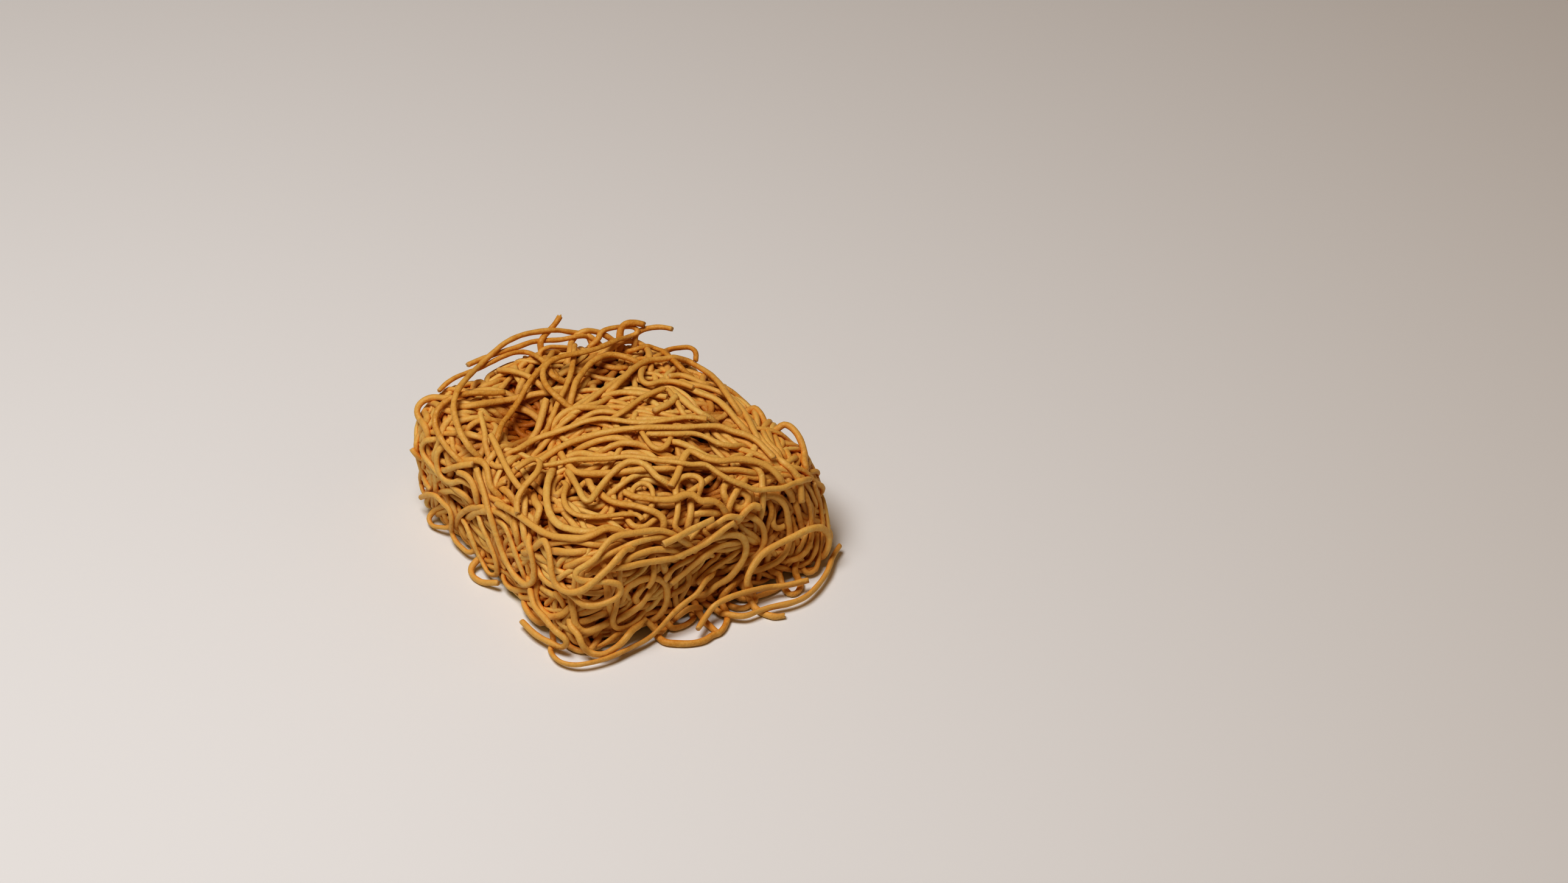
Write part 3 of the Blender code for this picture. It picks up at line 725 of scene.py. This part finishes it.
TOUCH = 1.78 * RADIUS  # middle lines stay this far apart: noodles that meet are pressed together a little
CELL = 2.4  # how near points of two noodles are looked for
SAME_NOODLE = 4.0  # points of one noodle nearer than this along it may be close
HOLD = 0.3  # how firmly the photograph's noodles keep their places across the sight lines
PUSH_ROUNDS = 90  # of moving all the noodles apart
PAIRS_EVERY, CEILING_EVERY = 6, 3  # rounds between looking for close pairs, and between lowering the high
EAGER = 1.3  # how much more than the mean of its corrections each point moves
HELD_SHARE = 0.1  # what a held noodle takes of the correction between it and a loose one
SPANS = ((8, 0.25), (3, 0.35), (1, 0.45))  # points apart, and how firmly two such points keep their distance
CEILING_PULL = 0.8  # the share of what is above its ceiling that a point goes down at a time


def joined(paths):
    """All points in one array, the noodle of each, and its distance from the one before it in its noodle."""
    flat = np.concatenate(paths)
    noodle = np.repeat(np.arange(len(paths)), [len(path) for path in paths])
    step = np.linalg.norm(np.diff(flat, axis=0, prepend=flat[:1]), axis=1)
    step[np.diff(noodle, prepend=-1) > 0] = 0.0
    return flat, noodle, step


def parted(values, noodle):
    """The values of all points as a list of one array for each noodle."""
    return np.split(values, np.flatnonzero(np.diff(noodle)) + 1)


def close_pairs(flat, noodle, along, reach=CELL):
    """Pairs of points within reach of each other, found through a grid of cells kept in sorted order."""
    cells = np.floor((flat - flat.min(axis=0)) / reach).astype(np.int64) + 1
    up, high = cells[:, 1].max() + 2, cells[:, 2].max() + 2
    stride = np.array((up * high, high, 1))
    key = cells @ stride
    order = np.argsort(key, kind="stable")
    ranked = key[order]
    offsets = np.array(list(np.ndindex(3, 3, 3))) - 1
    firsts, seconds = [], []
    for offset in offsets[len(offsets) // 2 :]:  # the cell itself and one of each two cells opposite
        wanted = key + offset @ stride
        low = np.searchsorted(ranked, wanted, "left")
        many = np.searchsorted(ranked, wanted, "right") - low
        first = np.repeat(np.arange(len(flat)), many)
        place = np.arange(many.sum()) - np.repeat(np.cumsum(many) - many, many) + np.repeat(low, many)
        second = order[place]
        if not offset.any():
            keep = first < second
            first, second = first[keep], second[keep]
        firsts.append(first)
        seconds.append(second)
    first, second = np.concatenate(firsts), np.concatenate(seconds)
    near = ((flat[first] - flat[second]) ** 2).sum(axis=1) < reach**2
    own = (noodle[first] == noodle[second]) & (np.abs(along[first] - along[second]) < SAME_NOODLE)
    keep = near & ~own
    return first[keep], second[keep]


def clear_hollows(flat, loose):
    """Moves the loose points in each hollow part of the way to its rim, straight out from its sight line."""
    for (_, width, depth), way, mouth in zip(HOLLOWS, HOLLOW_WAYS, HOLLOW_MOUTHS):
        off = flat - mouth
        ahead = off @ way
        aside = off - ahead[:, None] * way
        reach = np.linalg.norm(aside, axis=1)
        inside = loose & (reach < width) & (ahead > -HOLLOW_ABOVE) & (ahead < depth)
        grow = HOLLOW_PUSH * (width / np.maximum(reach[inside], HOLLOW_MIDDLE) - 1.0)
        flat[inside] += aside[inside] * grow[:, None]


def push_apart(paths, ceilings, holds):
    """Moves noodles until they clear each other, keep their lengths and bends, and stay in the block.

    Each round moves every point away from those too close to it, by a little more than the mean of what is
    missing. It then brings each step and some longer spans back towards their first lengths, and lowers what
    is above its ceiling. Noodles that are held slide along their sight lines and are drawn back to them.
    """
    flat, noodle, step = joined(paths)
    along = np.cumsum(step)
    home = flat.copy()
    sight = home - CAMERA_PLACE
    sight /= length_of(sight)
    ceiling = np.concatenate(ceilings)
    hold = np.concatenate(holds)
    held = np.array([noodle_hold.max() > 0.0 for noodle_hold in holds])[noodle]
    spans = []
    for reach, firmness in SPANS:
        same = noodle[reach:] == noodle[:-reach]
        spans.append((reach, firmness * same, np.linalg.norm(flat[reach:] - flat[:-reach], axis=1)))
    for index in range(PUSH_ROUNDS):
        if index % PAIRS_EVERY == 0:
            first, second = close_pairs(flat, noodle, along)
            unequal = np.where(held[first], HELD_SHARE, 1.0 - HELD_SHARE)
            share = np.where(held[first] == held[second], 0.5, unequal)
        gap = flat[second] - flat[first]
        size = np.maximum(np.sqrt((gap**2).sum(axis=1)), 1e-6)
        missing = np.maximum(TOUCH - size, 0.0)
        push = gap * (missing / size)[:, None]
        hit = missing > 0.0
        hits = np.bincount(np.concatenate([first[hit], second[hit]]), minlength=len(flat))
        move = np.empty_like(flat)
        for axis in range(3):
            back = np.bincount(first, -push[:, axis] * share, len(flat))
            ahead = np.bincount(second, push[:, axis] * (1.0 - share), len(flat))
            move[:, axis] = back + ahead
        flat = flat + move * (EAGER / np.maximum(hits, 1))[:, None]
        for reach, firmness, rest in spans:
            span = flat[reach:] - flat[:-reach]
            long = np.maximum(np.linalg.norm(span, axis=1), 1e-6)
            shift = span * (firmness * (long - rest) / long / 2.0)[:, None]
            flat[:-reach] += shift
            flat[reach:] -= shift
        off = flat - home
        astray = off - sight * (off * sight).sum(axis=1, keepdims=True)
        flat -= astray * (HOLD * hold)[:, None]
        if index % CEILING_EVERY == 0:
            over = heap(flat) + ceiling
            high = over > 0.0
            flat[high] -= outward(flat[high]) * (over[high] * CEILING_PULL)[:, None]
            clear_hollows(flat, ~held)
        flat[:, 2] = np.maximum(flat[:, 2], RADIUS)
    return parted(flat, noodle)


# ---------------------------------------------------------------- how deep in the block each bit lies, for its painted shade

SHADOW_REACH = 5.0  # how far over a point another noodle still shades it
SHADOW_FULL = 16.0  # the sum of cosines at which a point counts as buried
SHADOW_START, SHADOW_DEPTH = 3.0, 10.0  # under the surface, where the painted shade begins and ends to deepen
UNDERSIDE_SHADE = 0.3  # how strong the painted shade is on the side of a noodle that faces the block's inside
TURNED = (-0.5, 0.7)  # from the cosine at which that side's painted shade begins to the one where it is deepest
FULL_CELL = 1.0  # the grid that holds how full the space is: the side, first corner and numbers of its cells
FULL_CORNER = np.array((-75.0, -75.0, -8.0))
FULL_CELLS = (150, 150, 66)
FULL_SMOOTHINGS = 2
AHEAD = (1.0, 2.0)  # how far off a noodle's surface the space is looked at
CREASE_SHADE = 0.65  # how strong the painted shade is where another noodle lies close before a noodle's surface
CREASE_FULL = (0.4, 1.1)  # how full that space is where the painted shade begins to deepen, and is deepest


def buried(paths):
    """How much lies over each point, from 0 to 1, for its painted shade: other noodles' near points, by their
    outward cosines.
    """
    flat, noodle, step = joined(paths)
    first, second = close_pairs(flat, noodle, np.cumsum(step), SHADOW_REACH)
    gap = flat[second] - flat[first]
    gap /= length_of(gap)
    out = outward(flat)
    over = np.zeros(len(flat))
    for under, above, way in ((first, second, gap), (second, first, -gap)):
        rise = np.maximum((way * out[under]).sum(axis=1), 0.0)
        over += np.bincount(under, rise * step[above], len(flat))
    depth = soft_step(over, 0.0, SHADOW_FULL) * soft_step(-heap(flat), SHADOW_START, SHADOW_DEPTH)
    return parted(depth, noodle)


def fullness(paths):
    """How much of each small cell of space is noodle: every step's volume shared out, then smoothed."""
    grid = np.zeros(FULL_CELLS)
    for path in paths:
        step = np.linalg.norm(np.diff(path, axis=0, append=path[-1:]), axis=1)
        place = (path - FULL_CORNER) / FULL_CELL
        cell = np.floor(place).astype(int)
        part = place - cell
        for corner in np.ndindex(2, 2, 2):
            share = np.where(corner, part, 1.0 - part).prod(axis=1)
            np.add.at(grid, tuple((cell + corner).T), share * step * np.pi * RADIUS**2 / FULL_CELL**3)
    for _ in range(FULL_SMOOTHINGS):
        for axis in range(3):
            grid = (grid + np.roll(grid, 1, axis) + np.roll(grid, -1, axis)) / 3.0
    return grid


def read_grid(grid, points):
    """The grid's value at each point, by straight lines between the middles of its cells."""
    place = (points - FULL_CORNER) / FULL_CELL
    cell = np.clip(np.floor(place).astype(int), 0, np.array(FULL_CELLS) - 2)
    part = place - cell
    value = 0.0
    for corner in np.ndindex(2, 2, 2):
        share = np.where(corner, part, 1.0 - part).prod(axis=-1)
        value = value + share * grid[tuple(np.moveaxis(cell + corner, -1, 0))]
    return value


def soften(path, rounds):
    """Takes small kinks out of a noodle: each inner point goes half of the way to its neighbours' mean."""
    for _ in range(rounds):
        path[1:-1] += (path[2:] + path[:-2] - 2.0 * path[1:-1]) / 4.0
    return path


# ---------------------------------------------------------------- meshes


def as_metres(points):
    """From millimetres in the block's own place to metres in the frame."""
    return (np.asarray(points) + BLOCK_PLACE) * MM


def mesh_piece(name, points, faces, material, **values):
    """A smooth mesh piece from arrays of points and faces, with a named value at each point."""
    mesh = bpy.data.meshes.new(name)
    sizes = np.concatenate([np.full(len(group), group.shape[1]) for group in faces])
    corners = np.concatenate([group.ravel() for group in faces])
    mesh.vertices.add(len(points))
    mesh.vertices.foreach_set("co", as_metres(points).astype(np.float32).ravel())
    mesh.loops.add(len(corners))
    mesh.loops.foreach_set("vertex_index", corners.astype(np.int32))
    mesh.polygons.add(len(sizes))
    mesh.polygons.foreach_set("loop_start", (np.cumsum(sizes) - sizes).astype(np.int32))
    mesh.update(calc_edges=True)
    mesh.validate()
    mesh.shade_smooth()
    for title, value in values.items():
        attribute = mesh.attributes.new(title, "FLOAT", "POINT")
        attribute.data.foreach_set("value", np.asarray(value, np.float32).ravel())
    mesh.materials.append(material)
    piece = bpy.data.objects.new(name, mesh)
    bpy.context.scene.collection.objects.link(piece)
    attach(piece, "root")
    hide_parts("noodle_block")
    return piece


ODD_WAY = np.array((0.31, 0.52, 0.79))  # a direction that no noodle begins along
THICKNESS_WAVES = ((23.0, 0.035), (11.0, 0.04), (5.5, 0.025), (2.7, 0.008))  # wavelength, share of the radius
WAVE_STRETCH = (0.8, 1.3)  # how much longer than those a noodle's own waves are
LUMPS = 0.010  # a random share of the radius at each point
PRESSED = (0.08, 0.28)  # how much flatter a noodle is than wide
LIP = (0.72, 0.92)  # the width of a broken end's last ring, beside the noodle's
JUT, JUT_ROUGH, JUT_LEAN = 0.25, 0.22, 0.4  # how far it juts, and how unevenly and how slantwise, in radii
JUT_AIM = (0.0, 6.28)  # radians, the side on which it juts farthest
TIP = (0.0, 0.4)  # how far the middle of a broken end juts, in radii


def side_ways(path):
    """The direction along a noodle and two across it, carried from point to point without twisting."""
    ahead = np.gradient(path, axis=0)
    ahead /= length_of(ahead)
    side = np.empty_like(path)
    first = np.cross(ahead[0], ODD_WAY)
    for index, way in enumerate(ahead):
        first = first - way * (first @ way)
        first = first / max(np.sqrt(first @ first), 1e-9)
        side[index] = first
    return ahead, side, np.cross(ahead, side)


def faces_between_poles(rows, columns):
    """Quads between rows of points that go round, and triangles to the two poles that come after them."""
    grid = np.arange(rows * columns).reshape(rows, columns)
    after = np.roll(grid, -1, axis=1)
    quads = np.stack([grid[:-1], after[:-1], after[1:], grid[1:]], -1).reshape(-1, 4)
    low = np.stack([after[0], grid[0], np.full(columns, grid.size)], -1)
    high = np.stack([grid[-1], after[-1], np.full(columns, grid.size + 1)], -1)
    return quads, np.concatenate([low, high])


def tube(path, out, thickness, sides, rng):
    """One noodle: a circle carried along its path, a little uneven and pressed flat against the block.

    A smaller ring at each end leans and juts at random, and a middle point closes it. Returns points, quads,
    triangles and which points are of the broken faces.
    """
    rings = len(path)
    ahead, side, other = side_ways(path)
    angle = 2.0 * np.pi * np.arange(sides) / sides
    length = np.linalg.norm(np.diff(path, axis=0), axis=1).sum()
    along = np.linspace(0.0, length, rings)
    radius = np.full(rings, RADIUS * thickness)
    for wavelength, uneven in THICKNESS_WAVES:
        turns = along / wavelength / rng.uniform(*WAVE_STRETCH) + rng.uniform()
        radius *= 1.0 + uneven * np.sin(2.0 * np.pi * turns)
    radius = radius[:, None, None] * (1.0 + rng.normal(0.0, LUMPS, (rings, sides, 1)))
    across, up = np.cos(angle)[None, :, None], np.sin(angle)[None, :, None]
    round_it = (across * side[:, None] + up * other[:, None]) * radius
    pressed = rng.uniform(*PRESSED) * (round_it * out[:, None]).sum(axis=2, keepdims=True) * out[:, None]
    ring = path[:, None] + round_it - pressed
    lips, tips = [], []
    for end, way in ((0, -1.0), (-1, 1.0)):
        jut = JUT + rng.normal(0.0, JUT_ROUGH, sides)
        jut = jut + JUT_LEAN * np.cos(angle + rng.uniform(*JUT_AIM)) * rng.uniform(0.0, 1.0)
        lip = path[end] + (ring[end] - path[end]) * rng.uniform(*LIP)
        lips.append(lip + way * ahead[end] * (np.maximum(jut, 0.0) * RADIUS)[:, None])
        tips.append(path[end] + way * ahead[end] * rng.uniform(*TIP) * RADIUS)
    points = np.concatenate([lips[0], ring.reshape(-1, 3), lips[1], np.array(tips)])
    broken = np.zeros(len(points))
    broken[:sides] = broken[-sides - 2 :] = 1.0
    return points, *faces_between_poles(rings + 2, sides), broken


def noodle_piece(name, noodles, sides, material, rng, grid):
    """Joins the tubes of many noodles, each with its path, tone, depth and thickness, into one piece, and
    paints shade into the colour of each point.
    """
    points, quads, triangles = [], [], []
    values = {"shade": [], "broken": [], "deep": [], "hollow": []}
    total = 0
    for path, tone, depth, thick in noodles:
        path[:, 2] = np.maximum(path[:, 2], RADIUS * thick)
        out = outward(path)
        part, part_quads, part_triangles, broken = tube(path, out, thick, sides, rng)
        rings = np.r_[0, np.arange(len(path)), len(path) - 1]
        middle = path[rings][:, None]
        way = part[:-2].reshape(-1, sides, 3) - middle
        way = way / length_of(way)
        # painted shade: the colour deepens with depth, where other noodles lie close before the surface and
        # on the side facing the block's inside, and darkens at the bottoms of hollows
        full = sum(read_grid(grid, middle + way * (RADIUS + ahead)) for ahead in AHEAD) / len(AHEAD)
        facing = (way * out[rings][:, None]).sum(axis=2)
        painted_shade = CREASE_SHADE * soft_step(full, *CREASE_FULL) + UNDERSIDE_SHADE * soft_step(-facing, *TURNED)
        shade_in_hollow = soft_step(-heap(path), *HOLLOW_SHADE_SPAN) * np.clip(hollowed(path) / HOLLOW_DEEP, 0.0, 1.0)
        values["shade"].append(np.full(len(part), tone))
        values["broken"].append(broken)
        values["deep"] += [(depth[rings][:, None] + painted_shade).ravel(), depth[[0, -1]]]
        values["hollow"] += [np.repeat(shade_in_hollow[rings], sides), shade_in_hollow[[0, -1]]]
        points.append(part)
        quads.append(part_quads + total)
        triangles.append(part_triangles + total)
        total += len(part)
    faces = [np.concatenate(quads), np.concatenate(triangles)]
    values = {title: np.concatenate(value) for title, value in values.items()}
    return mesh_piece(name, np.concatenate(points), faces, material, **values)


CORE_ROWS, CORE_COLUMNS = 40, 80  # of its points
CORE_MIDDLE = np.array((0.0, 0.0, 16.0))
CORE_FAR = 80.0  # farther from its middle than the form reaches
CORE_HALVINGS = 30  # of the distance in which its surface is looked for


def inner_core(material):
    """A lumpy ball moved out onto the form at the core's depth, as rows of latitude closed by two poles."""
    lift = np.linspace(-0.5, 0.5, CORE_ROWS + 2)[1:-1, None] * np.pi
    turn = np.linspace(0.0, 2.0 * np.pi, CORE_COLUMNS, endpoint=False)[None]
    ways = np.stack([np.cos(lift) * np.cos(turn), np.cos(lift) * np.sin(turn), np.sin(lift) + 0 * turn], -1)
    ways = np.concatenate([ways.reshape(-1, 3), ((0.0, 0.0, -1.0), (0.0, 0.0, 1.0))])
    near, far = np.zeros(len(ways)), np.full(len(ways), CORE_FAR)
    for _ in range(CORE_HALVINGS):
        half = (near + far) / 2.0
        inside = heap(CORE_MIDDLE + ways * half[:, None]) + CORE_DEPTH < 0.0
        near, far = np.where(inside, half, near), np.where(inside, far, half)
    faces = faces_between_poles(CORE_ROWS, CORE_COLUMNS)
    return mesh_piece("inner_core", CORE_MIDDLE + ways * near[:, None], faces, material)


# ---------------------------------------------------------------- materials


class Value:
    """A node's output, so that shading is written as arithmetic: each operator adds its Math node."""

    def __init__(self, tree, socket):
        self.tree = tree
        self.socket = socket

    def math(self, operation, other):
        return add_node(self.tree, "ShaderNodeMath", {"operation": operation}, {0: self, 1: other})

    def __add__(self, other):
        return self.math("ADD", other)

    __radd__ = __add__

    def __mul__(self, other):
        return self.math("MULTIPLY", other)

    def __sub__(self, other):
        return self.math("SUBTRACT", other)

    def between(self, low, high):
        """0 at low and 1 at high, smooth in between."""
        inputs = {"Value": self, "From Min": low, "From Max": high}
        return add_node(self.tree, "ShaderNodeMapRange", {"interpolation_type": "SMOOTHSTEP"}, inputs)


def add_node(tree, kind, settings, inputs, output=0):
    """A node of a kind: its settings first, then the values or links of its sockets. Returns one output."""
    node = tree.nodes.new(kind)
    for name, setting in settings.items():
        setattr(node, name, setting)
    for name, value in inputs.items():
        if isinstance(value, Value):
            tree.links.new(value.socket, node.inputs[name])
        else:
            node.inputs[name].default_value = value
    return Value(tree, node.outputs[output])


def mix_colour(tree, amount, first, second):
    """Goes from the first colour to the second as the amount goes from 0 to 1."""
    return add_node(tree, "ShaderNodeMix", {"data_type": "RGBA"}, {0: amount, 6: first, 7: second}, 2)


def noise(tree, scale, detail):
    """Noise that keeps its place on the block, with as many cells to the metre as its scale."""
    place = add_node(tree, "ShaderNodeTexCoord", {}, {}, "Object")
    inputs = {"Vector": place, "Scale": scale, "Detail": detail}
    return add_node(tree, "ShaderNodeTexNoise", {}, inputs, "Fac")


def new_material(name):
    """A material with its tree of nodes and the shader node in it."""
    material = bpy.data.materials.new(name)
    material.use_nodes = True
    tree = material.node_tree
    return material, tree, tree.nodes["Principled BSDF"]


PALE = (0.83, 0.585, 0.20, 1.0)  # a noodle of tone 0
GOLD = (0.785, 0.478, 0.134, 1.0)  # one half-way
OCHRE = (0.64, 0.312, 0.048, 1.0)  # one of tone 1
DEEP_SHADE = (0.76, 0.225, 0.005, 1.0)  # painted shade between and under other noodles
HOLLOW_SHADE = (0.42, 0.13, 0.003, 1.0)  # painted shade at the bottom of a hollow
FRACTURE = (0.80, 0.55, 0.24, 1.0)  # broken ends and specks
CORE_ROUGH, FLOOR_ROUGH = 0.8, 0.9
# painted shade: the dark brown of the core
CORE_SHADE_COLOURS = ((0.42, 0.12, 0.008, 1.0), (0.55, 0.20, 0.016, 1.0))
CLOUDS, MOTTLES, BLISTERS = (90.0, 3.0), (700.0, 2.0), (1900.0, 1.0)  # scale and detail of each noise
CORE_CLOUDS = (250.0, 3.0)
CLOUDED, MOTTLED, BLISTERED = 0.6, 0.7, 0.5  # how much each noise changes the tone
SPECKS, SPECKLED = (0.62, 0.74), 0.45  # where the blisters' noise begins and ends to be a speck, and how pale
FRACTURED = 0.8  # how pale a broken end is
ROUGH, UNEVENLY_ROUGH = 0.56, 0.5  # the mean roughness and how much it varies
SHEEN = 0.4  # the specular level
BUMP_STRENGTH, BUMP_HEIGHT = 0.7, 0.0004  # the height in metres


def noodle_material():
    """Dried noodle: each its own shade from pale to ochre, mottled and blistered, with paler broken ends, and
    painted shade that deepens the colour between and under other noodles and darkens it in hollows.
    """
    material, tree, shader = new_material("dried_noodle_surface")
    shade, broken, deep, hollow = (
        add_node(tree, "ShaderNodeAttribute", {"attribute_name": title}, {}, "Fac")
        for title in ("shade", "broken", "deep", "hollow")
    )
    cloud, mottle, blister = (noise(tree, *kind) for kind in (CLOUDS, MOTTLES, BLISTERS))
    tone = shade + (cloud - 0.5) * CLOUDED + (mottle - 0.5) * MOTTLED + (blister - 0.5) * BLISTERED
    light = mix_colour(tree, tone.between(0.0, 0.5), PALE, GOLD)
    colour = mix_colour(tree, tone.between(0.5, 1.0), light, OCHRE)
    # painted shade: deeper between and under other noodles, dark at the bottoms of hollows
    colour = mix_colour(tree, deep, colour, DEEP_SHADE)
    colour = mix_colour(tree, hollow, colour, HOLLOW_SHADE)
    colour = mix_colour(tree, blister.between(*SPECKS) * SPECKLED, colour, FRACTURE)
    colour = mix_colour(tree, broken * FRACTURED, colour, FRACTURE)
    tree.links.new(colour.socket, shader.inputs["Base Color"])
    rough = ROUGH + (mottle - 0.5) * UNEVENLY_ROUGH
    tree.links.new(rough.socket, shader.inputs["Roughness"])
    shader.inputs["Specular IOR Level"].default_value = SHEEN
    height = mottle * 0.5 + blister * 0.5
    bumps = {"Height": height, "Strength": BUMP_STRENGTH, "Distance": BUMP_HEIGHT}
    bump = add_node(tree, "ShaderNodeBump", {}, bumps, "Normal")
    tree.links.new(bump.socket, shader.inputs["Normal"])
    return material


def core_material():
    """Noodles far down in the gaps, stood in for by a core painted with dark brown shade."""
    material, tree, shader = new_material("painted_shade_core")
    colour = mix_colour(tree, noise(tree, *CORE_CLOUDS), *CORE_SHADE_COLOURS)
    tree.links.new(colour.socket, shader.inputs["Base Color"])
    shader.inputs["Roughness"].default_value = CORE_ROUGH
    return material


# ---------------------------------------------------------------- camera, light and floor

LIGHT_AIM = Vector((0.0, 0.0, 0.02))  # metres, as are the lights' places and sizes; their powers are in watts
LIGHTS = (  # name, place, size, power, colour
    ("key", (-0.37, 0.0, 0.94), 0.42, 5.35, (1.0, 0.97, 0.93)),
    ("fill", (0.6, -0.5, 0.5), 0.6, 0.3, (1.0, 0.75, 0.5)),
)
WORLD_COLOUR, WORLD_STRENGTH = (1.0, 0.60, 0.28, 1.0), 0.11
FLOOR_COLOUR, FLOOR_REACH = (0.86, 0.90, 0.96, 1.0), 3.0


def make_camera():
    """The photograph's camera."""
    data = bpy.data.cameras.new("camera")
    data.lens = LENS
    data.sensor_width = SENSOR
    data.clip_start = 0.01
    camera = bpy.data.objects.new("camera", data)
    axes = (Vector(CAMERA_RIGHT), Vector(CAMERA_UP), Vector(-CAMERA_AHEAD))
    turn = Matrix(axes).transposed().to_4x4()
    camera.matrix_world = Matrix.Translation(Vector(as_metres(CAMERA_PLACE))) @ turn
    bpy.context.scene.collection.objects.link(camera)
    bpy.context.scene.camera = camera


def area_light(name, place, size, power, colour):
    """A square light that faces the block."""
    data = bpy.data.lights.new(name, "AREA")
    data.size = size
    data.energy = power
    data.color = colour
    light = bpy.data.objects.new(name, data)
    light.location = place
    light.rotation_euler = (LIGHT_AIM - Vector(place)).to_track_quat("-Z", "Y").to_euler()
    bpy.context.scene.collection.objects.link(light)


def make_studio():
    """A warm world, a key and a fill light, and the floor."""
    world = bpy.data.worlds.new("studio")
    world.use_nodes = True
    background = world.node_tree.nodes["Background"].inputs
    background["Color"].default_value = WORLD_COLOUR
    background["Strength"].default_value = WORLD_STRENGTH
    bpy.context.scene.world = world
    for light in LIGHTS:
        area_light(*light)
    material, _, shader = new_material("pale_floor")
    shader.inputs["Base Color"].default_value = FLOOR_COLOUR
    shader.inputs["Roughness"].default_value = FLOOR_ROUGH
    mesh = bpy.data.meshes.new("floor")
    corners = [(x * FLOOR_REACH, y * FLOOR_REACH, 0.0) for x, y in ((-1, -1), (1, -1), (1, 1), (-1, 1))]
    mesh.from_pydata(corners, [], [(0, 1, 2, 3)])
    mesh.materials.append(material)
    floor = bpy.data.objects.new("floor", mesh)
    bpy.context.scene.collection.objects.link(floor)


# ---------------------------------------------------------------- the block

LAYER_RISE = 1.4  # how far above its layer's depth a walked noodle may be pushed
LAYER_TOP = 0.3  # the least depth to which it may be pushed
SEEN_SIDES = 10  # of each noodle that follows the photograph
SEEN_THICKNESS = (0.94, 1.24)  # share of the radius
WALKED_THICKNESS = (0.92, 1.18)
SEEN_SOFTENINGS, WALKED_SOFTENINGS = 2, 5
TONE_SPREAD = 0.12  # either side of the tone read from the photograph
WALKED_TONES = (0.0, 0.5)  # of the other noodles


def walked_noodles(seen, rng):
    """The noodles of each layer, with the ceiling of each of their points."""
    waves = stray_waves(rng)
    grid = combing([rows[:, :3] for rows in seen])
    paths, ceilings = [], []
    for _, depth, count, stops, _ in LAYERS:
        layer = walk(even_starts(count, depth, rng), depth, stops, rng, waves, grid)
        paths += list(layer)
        ceilings += list(max(depth - LAYER_RISE, LAYER_TOP) + covered(layer, outward(layer)))
    return paths, ceilings


def make_block():
    """All the noodles and the core under them."""
    rng = np.random.default_rng(SEED)
    seen, tones = photographed_noodles()
    walked, ceilings = walked_noodles(seen, rng)
    ceilings = [rows[:, 3] for rows in seen] + ceilings
    holds = [rows[:, 4] for rows in seen] + [np.zeros(len(path)) for path in walked]
    paths = push_apart([rows[:, :3] for rows in seen] + walked, ceilings, holds)
    softenings = [SEEN_SOFTENINGS] * len(seen) + [WALKED_SOFTENINGS] * len(walked)
    paths = [soften(path, rounds) for path, rounds in zip(paths, softenings)]
    tones = np.array(tones) + rng.uniform(-TONE_SPREAD, TONE_SPREAD, len(seen))
    tones = np.concatenate([tones, rng.uniform(*WALKED_TONES, len(walked))])
    thickness = [rng.uniform(*SEEN_THICKNESS, len(seen)), rng.uniform(*WALKED_THICKNESS, len(walked))]
    each = list(zip(paths, tones, buried(paths), np.concatenate(thickness)))
    grid = fullness(paths)
    noodle = noodle_material()
    pieces = {"surface_noodles": [len(seen), SEEN_SIDES]}
    for name, _, count, _, sides in LAYERS:
        pieces.setdefault(name, [0, sides])[0] += count
    for name, (count, sides) in pieces.items():
        noodle_piece(name, each[:count], sides, noodle, rng, grid)
        each = each[count:]
    inner_core(core_material())


make_camera()
make_studio()
make_block()
bpy.context.scene.view_settings.view_transform = "Standard"
bpy.context.scene.view_settings.look = "High Contrast"
